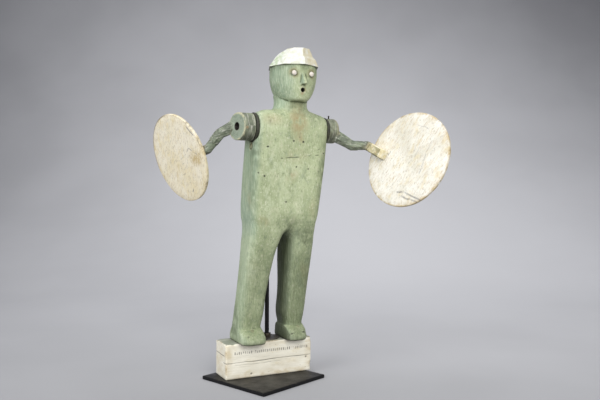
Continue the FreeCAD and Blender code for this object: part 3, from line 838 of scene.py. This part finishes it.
def plinth_block():
    fine_rows = ((), (), ((22.5, 30.5, 0.4), (36, 40, 0.5)))
    co, faces = box_skin(*(grid_lines(a, b, 1.2, *fine) for a, b, fine in zip(BLOCK_LOW, BLOCK_HIGH, fine_rows)))
    radius = 1.6 + 0.7 * fbm(co, 14, 3, 3)
    radius += 4.5 * blob(co, (63, -23, 12), (9, 9, 12)) + 2 * blob(co, (63, -23, 52), (8, 8, 6))
    radius += 1.2 * blob(co, (-73, -23, 50), (10, 10, 8))
    radius += 2.6 * rise(fbm(co, (7, 9, 9), 19, 3), 0, 0.5) * rise(co[:, 2], 50, 55)
    radius = np.where(co[:, 2] - BLOCK_LOW[2] < 0.01, 0.8, radius)
    co = round_edges(co, BLOCK_LOW, BLOCK_HIGH, np.clip(radius, 0.6, 7))
    obj = from_arrays("plinth_wood_block", co, faces)
    bore(obj, 0, 70, ROD_R)
    co, normals = read(obj)
    x, y, z = co.T
    front, back, right_end = normals[:, 1] < -0.5, normals[:, 1] > 0.5, normals[:, 0] < -0.5
    wander = 0.9 * fbm(co * (1, 0, 0), 22, 41, 3)
    crack = seam(z - CRACK_Z - wander - 0.012 * x, 0.25, 0.75) * (front | (right_end & (y < -12)))
    second = seam(z - SECOND_CRACK_Z - 1.1 * wander - 0.006 * x, 0.2, 0.55) * front
    second *= rise(x, -72, -60) * fall(x, 30, 46) * rise(noise(co, 9, 8), -0.5, 0.1)
    end_crack = seam(z - END_CRACK_Z - 0.03 * y - 0.5 * noise(co * (0, 1, 0), 7, 9), 0.25, 0.7)
    end_crack *= right_end * rise(y, -20, -12)
    back_crack = seam(z - BACK_CRACK_Z - wander, 0.3, 0.8) * back * rise(x, -30, -20)
    shift = -0.15 + 0.3 * fbm(co, (60, 30, 16), 13, 3)
    shift += 0.1 * fbm(co, (20, 4, 1.6), 17, 3) + 0.25 * (facets(co, (22, 14, 9), 23) - 0.4)
    shift = np.minimum(shift, 0) - 0.6 * crack - 0.35 * second - 0.5 * end_crack - 0.6 * back_crack
    for centre, size in BLOCK_HOLES:
        shift -= 1.2 * blob(co, centre, size)
    resting = (z > BLOCK_HIGH[2] - 0.2) | (z < BLOCK_LOW[2] + 0.2) | (np.hypot(x, y) < 5)
    write(obj, co + normals * np.where(resting, 0, shift)[:, None])
    curve = bend(obj, 8)
    rough = fbm(co, (16, 10, 8), 55, 4)
    fade = 0.4 + 0.6 * rise(noise(co, (14, 30, 30), 92), -0.35, 0.3)
    mark = most(0.7 * fade * crack, 0.4 * fade * second, 0.8 * end_crack, 0.8 * back_crack)
    for centre, size in BLOCK_HOLES:
        mark = most(mark, 0.7 * rise(blob(co, centre, size * 1.1), 0, 0.5))
    # painted shade in the cracks and hollows and along the bottom by the plate
    dirt = 0.5 * rise(-curve, 0.08, 0.3) + 0.35 * fall(z, 5.5, 8.5)
    # cool makes the top face greyer and darker
    layers(obj, co, wear=rise(curve, 0.12, 0.45) * rise(rough, -0.2, 0.35),
           stain=blobs(co, BLOCK_STAINS, 0.6) * rise(rough, -0.7, 0.3),
           cool=0.85 * rise(normals[:, 2], 0.7, 0.9), dirt=np.minimum(dirt, 0.8), mark=mark)
    show(obj, "figure", cream_paint(), "cream_wood", "plinth_block")


def base_plate():
    half = PLATE_SIDE / 2
    across = grid_lines(-half, half, 1.6)
    co, faces = box_skin(across, across, grid_lines(0, PLATE_THICK, 0.5))
    radius = np.clip(0.7 + 0.5 * fbm(co, 6, 3, 3), 0.4, 1.2)
    co = round_edges(co, (-half, -half, 0), (half, half, PLATE_THICK), radius)
    near_edge = rise(np.abs(co[:, :2]).max(1), half - 4, half)
    dents = 0.35 * rise(fbm(co, 5, 12, 3), 0.15, 0.5) * near_edge
    co[:, 2] -= np.where(co[:, 2] > 4, dents, 0)
    turn = np.array(Matrix.Rotation(math.radians(PLATE_TURN), 3, "Z"))
    obj = from_arrays("steel_base_plate", co @ turn.T + (*PLATE_CENTRE, 0), faces)
    bore(obj, 1, 10, ROD_R - ROD_FIT)
    # painted shade: the plate's sides are blacker than its top
    show(obj, "stand", black_steel("satin_black_plate", 0.42, PLATE_THICK - 0.7), "black_steel", "base_plate")


plinth_block()
base_plate()


# ---------- arms
def paddle_frame(side):
    """The paddle's centre and its along (from the wrist), across and normal directions."""
    data = PADDLES[side]
    normal = unit(data["normal"])
    centre, wrist = np.array(data["centre"]), np.array(data["wrist"])
    along = unit((centre - wrist) - normal * ((centre - wrist) @ normal))
    return centre, along, np.cross(normal, along), normal


def hand_frame(side):
    """Wrist, directions along the hand and across it, and how far the wrist stands out of the paddle's plane."""
    centre, along, across, normal = paddle_frame(side)
    droop = math.radians(PADDLES[side]["droop"])
    wrist = np.array(PADDLES[side]["wrist"])
    along = along * math.cos(droop) - across * math.sin(droop)
    return wrist, along, np.cross(normal, along), (wrist - centre) @ normal


# each hub: which way it faces along X, its end, how far out it reaches, its washer's face and its worn rim
HUBS = {"right": {"out": -1, "end": -66, "limit": 71.5, "seat": -44.3, "rim": 19},
        "left": {"out": 1, "end": 90, "limit": 90.5, "seat": 73.3, "rim": 17}}
# strength of the painted shade below the sleeve, of the dark coat all over it and on the hub, of the stain at
# the wrist, and where past the wrist the cream paint starts
ARM_COATS = {"right": {"under": 0.55, "thin": 0.18, "hub": 0, "wrist": 0.85, "cream": 1},
             "left": {"under": 0.35, "thin": 0, "hub": 0.42, "wrist": 0, "cream": 6}}


def arm(side):
    obj = copy_of("arm_" + side, "carved_arm_" + side, 0.7)
    hub, coat = HUBS[side], ARM_COATS[side]
    centre, _, _, normal = paddle_frame(side)
    wrist, along, across, _ = hand_frame(side)
    co, _ = read(obj)
    # the square root of the hand is pared down to the round sleeve
    core = nearest(co, PADDLES[side]["elbow"], wrist)
    out = np.linalg.norm(co - core, axis=1)
    allowed = 6.9 + 3.1 * rise((co - wrist) @ along, 0, 5)
    pared = (np.linalg.norm(co - wrist, axis=1) < 16) & (out > allowed)
    co = np.where(pared[:, None], core + (co - core) * (allowed / out)[:, None], co)
    write(obj, co)
    relax(obj, 12, 0.02 + 0.9 * fall(np.linalg.norm(co - wrist, axis=1), 8, 14))
    co, normals = read(obj)
    x = co[:, 0]
    past_wrist = (co - wrist) @ along
    lap = rise(past_wrist, 2, 8)
    radial = aside(co, AXLE, 0)
    in_hub = (x * hub["out"] < hub["limit"]) & (radial < 21)
    chisel = facets(co, 9, 31) - 0.45
    shift = 0.6 * chisel + 0.2 * fbm(co, 6, 5, 3) - 0.1
    shift = np.where(in_hub, 0.25 * chisel + 0.12 * fbm(co, (1.2, 8, 8), 6, 3) - 0.1, shift)
    shift = np.where(lap > 0.5, 0.12 * fbm(co, 4, 7, 3) - 0.08, shift)
    fitted = (np.abs(x - hub["seat"]) < 1.2) | (radial < 6)
    shift = np.where(fitted, np.minimum(shift, 0) * 0.3, np.minimum(shift, 0.15))
    write(obj, co + normals * shift[:, None])
    curve = bend(obj, 8)
    rough = fbm(co, 5, 61, 4)
    flat = np.abs(normals[:, 0])
    from_end = np.abs(x - hub["end"])
    # the hand's broad face is rubbed bare to an olive tan below a pale upper edge; its end is creamy
    low_edge = -hub["out"] * ((co - wrist) @ across)
    tongue_end = np.linalg.norm(centre - wrist) - PADDLES[side]["radius"] + HAND_LAP
    tip = rise(past_wrist, tongue_end - 8, tongue_end - 6.5)
    broad = lap * rise(low_edge, -5.8, -4.6) * (1 - tip)
    end_crease = seam(past_wrist - tongue_end + 7.5, 0.3, 1) * rise(low_edge, -5.5, -3.5)
    edge_crease = seam(low_edge + 4.4 - 0.4 * noise(co, 5, 63), 0.2, 0.7) * (1 - tip)
    stain = most(0.15 * in_hub * (flat < 0.5) + 0.5 * seam(past_wrist - 9, 2, 7),
                 coat["wrist"] * band(past_wrist, 0.5, 4.5) * rise(rough, -0.9, 0.1),
                 0.8 * broad * rise(rough, -1, 0.2))
    # painted shade on the undersides; hub rims are rubbed pale
    dirt = most(0.8 * rise(-curve, 0.06, 0.3), 0.3 * broad * rise(rough, -0.4, 0.5),
                coat["under"] * rise(-normals[:, 2], 0.35, 0.9) * (1 - lap), coat["thin"] * ~in_hub * (1 - lap),
                coat["hub"] * in_hub * rise(rough, -0.5, 0.3))
    rim = band(radial, hub["rim"], 2.4) * (from_end < 5.5) * in_hub
    wear = most(rise(curve, 0.1, 0.4) * rise(rough, -0.3, 0.3), 0.9 * rim * rise(rough, -0.6, 0.2))
    # along the hand's lower edge the dark line is a painted shadow
    mark = most(fall(radial, 5.4, 6.1) * (from_end < 12) * in_hub, 0.4 * end_crease * lap,
                0.5 * edge_crease * lap * rise(noise(co, 6, 64), -0.5, 0.2),
                0.75 * lap * rise(low_edge, 5.6, 6.7) * (1 - 0.6 * tip))
    # coordinates with the third axis along the limb's grain, and round the hub
    run = unit(wrist - AXLE)
    sideways = unit(np.cross(run, (0, 0, 1)))
    limb = (co - wrist) @ np.stack([sideways, np.cross(run, sideways), run]).T
    hand = (co - wrist) @ np.stack([across, normal, along]).T
    around = np.arctan2(co[:, 2] - AXLE[2], co[:, 1] - AXLE[1]) * 9
    local = np.where(lap[:, None] > 0.5, hand, limb)
    local = np.where((in_hub & (flat < 0.6))[:, None], np.stack([x * 0.7, radial, around], -1), local)
    layers(obj, local, wear=wear, dirt=np.minimum(dirt, 0.9), stain=stain, cool=0.8 * in_hub * (flat > 0.7),
           cream=rise(past_wrist + 2.5 * rough, coat["cream"], coat["cream"] + 3.5), mark=mark)
    show(obj, "rotor", ARM_PAINT, "arm_wood", "arm_" + side)


ARM_PAINT = arm_paint()
for arm_side in SIDES:
    arm(arm_side)


# ---------- paddles
# scratches in each paddle's own plane: start, end, width, depth of colour
SCRATCHES = {
    "left": (
        ((7, -47.7), (22, -46), 1.6, 0.9), ((22, -46), (51, -48), 1.4, 0.75),
        ((14, -51.7), (31, -52.6), 1.5, 0.85), ((31, -52.6), (48, -53), 1.3, 0.65),
        ((30.7, 34), (30.2, 20), 1.1, 0.3), ((30.2, 15), (31, -4), 1.2, 0.4),
        ((31, -8), (31.3, -14), 1.2, 0.5), ((-3.5, 51), (17.6, 49.5), 0.8, 0.35),
        ((5, 30), (8, 10), 0.8, 0.25), ((12, 26), (14, 2), 0.8, 0.25), ((-34, 2), (-36, -6), 0.9, 0.7)),
    "right": (
        ((-46, -3), (-36, -9), 0.9, 0.8), ((-36, -9), (-28, -6), 0.9, 0.7), ((-34, -2), (-26, 4), 0.8, 0.5),
        ((-52, 2), (-44, -2), 0.9, 0.6), ((-58, -26), (-44, -46), 1.2, 0.8), ((-10, 10), (4, 14), 0.9, 0.35),
        ((-16, 14), (0, 22), 0.9, 0.3), ((-8, 24), (6, 26), 0.8, 0.35), ((10, -30), (30, -26), 0.8, 0.2),
        ((-24, -4), (-8, 2), 0.8, 0.25), ((-12, 50), (-8, 53), 1.3, 0.7), ((30, 24), (34, 20), 1.2, 0.5))}


def paddle(side, material, grain_turn, rim_wear, hand_stain, bare_rim, seed):
    """A sawn round board with a softened, knife-worn rim, turned to its place."""
    centre, along, across, normal = paddle_frame(side)
    radius = PADDLES[side]["radius"]
    half, edge, taper = PADDLE_THICK / 2, 1.1, 0.7
    rim_half = half - taper
    profile = [(r, half - taper * rise(r, radius - 8, radius - 1))
               for r in np.arange(1.2, radius - edge - 0.6, 1.2)]
    for angle in (90, 67, 45, 22, 0):
        a = math.radians(angle)
        profile.append((radius - edge + edge * math.cos(a), rim_half - edge + edge * math.sin(a)))
    flat, faces = spun([(r, -h) for r, h in profile] + [(radius, 0)] + profile[::-1], 360)
    x, y, height = flat.T
    # the rim was cut with a knife in short flats, and wears inwards
    ring_r = np.hypot(x, y)
    cut = 0.1 + 0.3 * fbm(flat * (1, 1, 0) / np.maximum(ring_r, 1e-6)[:, None] * 60, 22, seed, 2)
    flat[:, :2] *= (1 - np.clip(cut, 0, 1.2) / radius * rise(ring_r / radius, 0.7, 1))[:, None]
    c, s = math.cos(math.radians(grain_turn)), math.sin(math.radians(grain_turn))
    grain = np.stack([x * s - y * c, height, x * c + y * s], -1)
    shift = -0.08 + 0.12 * fbm(grain, (1.6, 3, 30), seed + 2, 3) + 0.12 * fbm(grain, (22, 9, 50), seed + 3, 2)
    chips = rise(fbm(flat, 5, seed + 4, 3), 0.12, 0.5) * rise(ring_r, radius - 3.5, radius - 0.5)
    on_side = (ring_r > radius - 2) & (np.abs(height) < rim_half - 0.5)
    height += np.sign(height) * (np.minimum(shift, 0) - 0.35 * chips) * ~on_side
    obj = from_arrays("wind_paddle_" + side, flat @ np.stack([along, across, normal]) + centre, faces)
    rough = fbm(flat, 9, seed + 7, 4)
    shaky = wobble(flat * (1, 1, 0), seed)
    scratched = most(*(amount * line(shaky, (*a, 0), (*b, 0), width) for a, b, width, amount in SCRATCHES[side]))
    mark = scratched * (height > 0) * rise(fbm(flat, 5, seed + 9, 2), -0.75, -0.1)
    # the outer upper rim may have lost its paint
    bare = bare_rim * rise(ring_r, radius - 2.4, radius - 1.4) * rise(x - y, 55, 75)
    hand = blob(flat, (-radius + 21, 8, 0), (21, 15, 9)) ** 0.45
    stain = most(0.4 * rise(ring_r, radius - 16, radius) * rise(rough, -0.3, 0.5),
                 0.6 * rim_wear * on_side * rise(rough, -0.6, 0.2), hand_stain * hand * rise(rough, -0.9, 0))
    dirt = most(0.5 * chips, bare * rise(rough, -0.9, -0.1))
    layers(obj, grain, wear=rim_wear * rise(ring_r, radius - 2.2, radius - 1) * rise(rough, -0.5, 0.25),
           stain=stain, dirt=np.minimum(dirt, 0.8), mark=np.minimum(mark, 0.85))
    show(obj, "rotor", material, "paddle_wood", "paddle_" + side)


WHITE = paddle_paint("white_paddle_paint", "d0ccbe", "e1ded4", "d2c49e")
CREAM = paddle_paint("cream_paddle_paint", "ded4b6", "e4ddc8", "d8c898")
paddle("left", WHITE, 78, 0.75, 0.4, 0, 100)
paddle("right", CREAM, 60, 0.3, 1, 0.75, 200)


# ---------- cap
def carved_cap():
    obj = copy_of("cap", "carved_cap", 0.55)
    co, normals = read(obj)
    x, y, z = co.T
    shift = 0.4 * (facets(co, (10, 10, 7), 71) - 0.5) + 0.15 * fbm(co, 4, 72, 3) - 0.1
    shift = np.minimum(shift, 0) * rise(z, 454.2, 456.5)
    write(obj, co + normals * shift[:, None])
    curve = bend(obj, 8)
    rough = fbm(co, 5, 73, 4)
    stain = most(0.9 * rise(y - 0.5 * x, -72, -44) * rise(rough, -0.5, 0.15),
                 0.5 * fall(z, 455, 458) * rise(rough, -0.4, 0.4))
    # the facets on the figure's left of the front edge are yellower as painted shade, and those along the crown
    # are yellower too
    yellow = most(0.7 * rise(normals[:, 0], 0.1, 0.5) * rise(rough, -0.7, 0.1),
                  0.45 * rise(normals[:, 2], 0.6, 0.9) * rise(rough, -0.5, 0.2))
    # painted shade on the cap's underside and in its hollows
    dirt = 0.9 * fall(z, 453.9, 454.5) + 0.6 * rise(-curve, 0.06, 0.3)
    layers(obj, co, wear=rise(curve, 0.1, 0.4) * rise(rough, -0.2, 0.3) * 0.8, stain=stain, yellow=yellow,
           dirt=np.minimum(dirt, 0.9))
    show(obj, "figure", cap_paint(), "white_wood", "cap")


carved_cap()


# ---------- washers, nails, brads
def washer(side, inner_x, outer_x, radius):
    """A leather disc with a soft, slightly uneven rim, round the axle tube."""
    thick = abs(outer_x - inner_x)
    steps = [(5.3, 0), (radius - 3, 0), (radius - 1, 0.1), (radius - 0.2, 0.7), (radius, thick / 2),
             (radius - 0.2, thick - 0.7), (radius - 1, thick - 0.1), (radius - 3, thick), (5.3, thick)]
    rings = []
    for (r0, h0), (r1, h1) in zip(steps, steps[1:]):
        parts = max(1, int(math.hypot(r1 - r0, h1 - h0) / 1.2))
        rings += [(r0 + (r1 - r0) * t / parts, h0 + (h1 - h0) * t / parts) for t in range(parts)]
    co, faces = spun([*rings, steps[-1]], 120, closed=True)
    local = co[:, [2, 0, 1]]
    round_place = local * (0, 1, 1)
    rim = rise(np.linalg.norm(round_place, axis=1), radius - 6, radius)
    local[:, 1:] *= (1 - rim * (0.012 + 0.012 * fbm(round_place, 9, 81, 3)))[:, None]
    round_place = local * (0, 1, 1)
    local[:, 0] += 0.2 * rim * (fbm(round_place, 7, 82, 2) - 0.6) * np.sign(local[:, 0] - thick / 2)
    if outer_x < inner_x:
        local[:, 0] *= -1
        faces = [face[::-1] for face in faces]
    obj = from_arrays("leather_washer_" + side, local + (inner_x, AXLE[1], AXLE[2]), faces)
    show(obj, "figure", LEATHER, "dark_washer", "shoulder_washer_" + side)


def nail(tip, head, shank, head_r, height, seed):
    """A round nail whose head is slightly domed and hammered."""
    tip, head = np.asarray(tip, float), np.asarray(head, float)
    length = np.linalg.norm(head - tip)
    profile = [(0.15, 0), (shank, 2), (shank, length)]
    for share, rise in ((0.93, 0), (1, 0.25), (0.97, 0.65), (0.75, 0.895), (0.4, 0.98), (0.1, 1)):
        profile.append((head_r * share, length + height * rise))
    co, faces = spun(profile)
    high = co[:, 2] > length - 0.01
    dents = np.minimum(0.1 * height * (fbm(co, head_r * 0.7, seed, 2) - 1), 0)
    co[:, 2] += np.where(co[:, 2] > length + 0.2 * height, dents, 0)
    co[:, :2] *= np.where(high, 1 - 0.04 * (1 + fbm(co, head_r, seed + 3, 2)), 1)[:, None]
    turn = np.array(Vector(head - tip).to_track_quat("Z", "Y").to_matrix())
    return co @ turn.T + tip, faces


def nails(name, node, body, material, *parts):
    """One piece made of one or more nails, in place of a CAD node."""
    verts, faces = [], []
    for co, polygons in parts:
        start = sum(len(v) for v in verts)
        verts.append(co)
        faces += [[start + i for i in polygon] for polygon in polygons]
    show(from_arrays(name, np.vstack(verts), faces), body, material, "dark_nail", node)


def brads(side):
    """The two brads through a hand and its paddle."""
    centre, _, _, normal = paddle_frame(side)
    wrist, along, across, level = hand_frame(side)
    front = max(PADDLE_THICK / 2, level + HAND_THICK / 2)
    back = min(-PADDLE_THICK / 2, level - HAND_THICK / 2)
    rim = wrist - normal * level + along * (np.linalg.norm(centre - wrist) - PADDLES[side]["radius"])
    middles = (rim + along * 9 + across * 2.2, rim + along * 20 - across * 2.2)
    nails("hand_brads_" + side, "paddle_brads_" + side, "rotor", CREAMED,
          *(nail(middle + normal * (back + 1), middle + normal * (front - 0.8), 0.9, 1.7, 1.2, 340 + k)
            for k, middle in enumerate(middles)))


def eye(side):
    node = "eye_nail_" + side
    low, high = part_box(node)
    x, _, z = centre_of(node)
    front, back = low.y / MM, high.y / MM
    head_base, dome = back - front - 2.4, back - front
    profile = [(1, 0), (1.2, 0.5), (1.2, head_base)]
    for a in np.radians(range(0, 90, 12)):
        profile.append((EYE_R * math.cos(a), head_base + 0.2 + 2 * math.sin(a)))
    co, faces = spun(profile, 40)
    co[:, 2] += np.where(co[:, 2] > dome - 2, 0.12 * (fbm(co, 1.8, 351, 2) - 0.8), 0)
    co = co[:, [0, 2, 1]] * (1, -1, 1) + (x, back, z)
    show(from_arrays("painted_eye_nail_" + side, co, faces), "figure", EYE, "eye_white", node)


LEATHER = oiled_leather()
EYE = eye_paint()
IRON = metal("dark_iron", "2e2824", "544c44", "5c3a24", 0.7, 0.5)
RUSTED = metal("rusted_under_paint", "80745a", "a89c7e", "70583e", 0.1, 0.6)
PAINTED = metal("painted_nail", "707458", "8c9272", "604c32", 0, 0.5)
CREAMED = metal("brad_under_cream", "b09e74", "cec2a0", "785c3a", 0, 0.55)
BRIGHT = metal("dull_steel", "78746e", "a09c96", "604e3c", 1, 0.38)
BRASS = metal("old_brass", "967e4c", "b0965c", "5a4c30", 1, 0.4)
NUT_STEEL = metal("old_nut_steel", "423e38", "686258", "543e2c", 0.8, 0.45)
WASHER_STEEL = metal("worn_washer_steel", "262422", "706c64", "3a3026", 0.6, 0.45)
ROD_STEEL = black_steel("satin_black_rod", 0.4, 450)

washer("right", -39, -43.5, 21)
washer("left", 69, 72.5, 19.5)
nails("shoe_nails", "foot_nails", "figure", PAINTED,
      *(nail((x + 1, y + 22, 41.5), (x, y, 73.5), 1.3, 2.6, 1.6, 300 + k)
        for k, (x, y) in enumerate(((-36, -30.5), (38, -28)))))
nails("crown_brads", "cap_nails", "figure", IRON,
      *(nail((23, y, 452), (23, y, 479.1), 0.9, 1.7, 0.8, 310 + k) for k, y in enumerate((-66, -52))))
left_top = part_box("hub_nail_left")[1].z / MM
nails("hub_nail_black", "hub_nail_left", "rotor", IRON,
      nail((80, -45, 359), (80, -45, left_top - 1), 1, 1.5, 1, 320))
tilt = math.radians(98)
lean = np.array([0, -math.sin(tilt), math.cos(tilt)])
root = AXLE + (-57.5, 0, 0)
nails("hub_nail_rusty", "hub_nail_right", "rotor", RUSTED,
      nail(root - lean * 7, root + lean * 19.2, 1.1, 2.2, 1, 330))
brads("left")
brads("right")
eye("right")
eye("left")
for kept_node, steel in (("stand_rod", ROD_STEEL), ("rod_washer", WASHER_STEEL), ("rod_nut", NUT_STEEL),
                         ("axle", BRIGHT), ("foot_screws", BRIGHT), ("axle_tube", BRASS)):
    NODES[kept_node].data.materials.clear()
    NODES[kept_node].data.materials.append(steel)


# ---------- floor, backdrop, light, camera
def square(p, value, middle, reach):
    scaled = p.math("DIVIDE", p.math("SUBTRACT", value, middle), reach)
    return p.times(scaled, scaled)


def backdrop():
    """One pale sheet: a floor that curves up into a wall behind the object, in metres."""
    radius, start = 1.8, 0.7
    profile = [(-2.2 + 0.25 * k, 0) for k in range(12)]
    for a in np.radians(90) * np.arange(25) / 24:
        profile.append((start + radius * math.sin(a), radius * (1 - math.cos(a))))
    profile += [(start + radius, radius + 0.25 * k) for k in range(1, 9)]
    xs = np.arange(-3, 3.01, 0.3)
    verts = [(x, y, z) for y, z in profile for x in xs]
    n = len(xs)
    faces = [(k * n + i, k * n + i + 1, (k + 1) * n + i + 1, (k + 1) * n + i)
             for k in range(len(profile) - 1) for i in range(n - 1)]
    obj = from_arrays("studio_sheet", np.array(verts) / MM, faces)
    p = Paint("studio_paper_painted_light", "object")
    # painted light: the sheet is palest at one spot on the wall, right of the object, and darkens away from it
    x, y, z = p.axes()
    slanted = p.math("ADD", z, p.times(x, 0.42))
    away = p.math("ADD", square(p, x, 500, 1850), square(p, slanted, 0, 1700))
    away = p.math("ADD", away, square(p, p.math("MINIMUM", y, 1400), 1400, 1700))
    away = p.math("ADD", p.math("SQRT", away), p.range(p.noise(400, 3, 0.5), 0.3, 0.7, -0.03, 0.03))
    p.base("dbdbdd", "6c6c6f", away, 0.1, 1.6)
    obj.data.materials.append(p.finish(0.85, specular=0.1))
    obj.data.shade_smooth()
    obj.matrix_world = Matrix.Rotation(math.radians(-26.1), 4, "Z")


def lamp(name, place, target_z, size, power, colour):
    """A round lamp aimed at a point on the rod's axis."""
    data = bpy.data.lights.new(name, "AREA")
    data.shape = "DISK"
    data.size = size
    data.energy = power
    data.color = colour
    obj = link(data, name)
    obj.location = place
    obj.rotation_mode = "QUATERNION"
    obj.rotation_quaternion = (Vector((0, 0, target_z)) - Vector(place)).to_track_quat("-Z", "Y")


def camera():
    data = bpy.data.cameras.new("camera")
    data.sensor_width = 36
    data.lens = 39
    data.dof.use_dof = False
    forward = Vector((0.4396, 0.8982, -0.0051)).normalized()
    right = forward.cross((-0.0009, 0.0061, 1)).normalized()
    place = Matrix((right, right.cross(forward), -forward)).transposed().to_4x4()
    place.translation = (-0.386, -0.9009, 0.2678)
    SCENE.camera = link(data, "camera")
    SCENE.camera.matrix_world = place


backdrop()
lamp("key", (-0.3, -1.85, 1), 0.25, 1.4, 28, (1, 0.99, 0.96))
lamp("left", (-1.7, -0.6, 0.9), 0.25, 1.5, 23, (0.98, 0.99, 1))
lamp("top", (0.1, 0.1, 1.7), 0.2, 1.2, 7, (0.96, 0.98, 1))
world = bpy.data.worlds.new("studio")
world.use_nodes = True
background = world.node_tree.nodes["Background"].inputs
background["Color"].default_value = (0.93, 0.94, 1, 1)
background["Strength"].default_value = 0.6
SCENE.world = world
SCENE.view_settings.view_transform = "Standard"
camera()
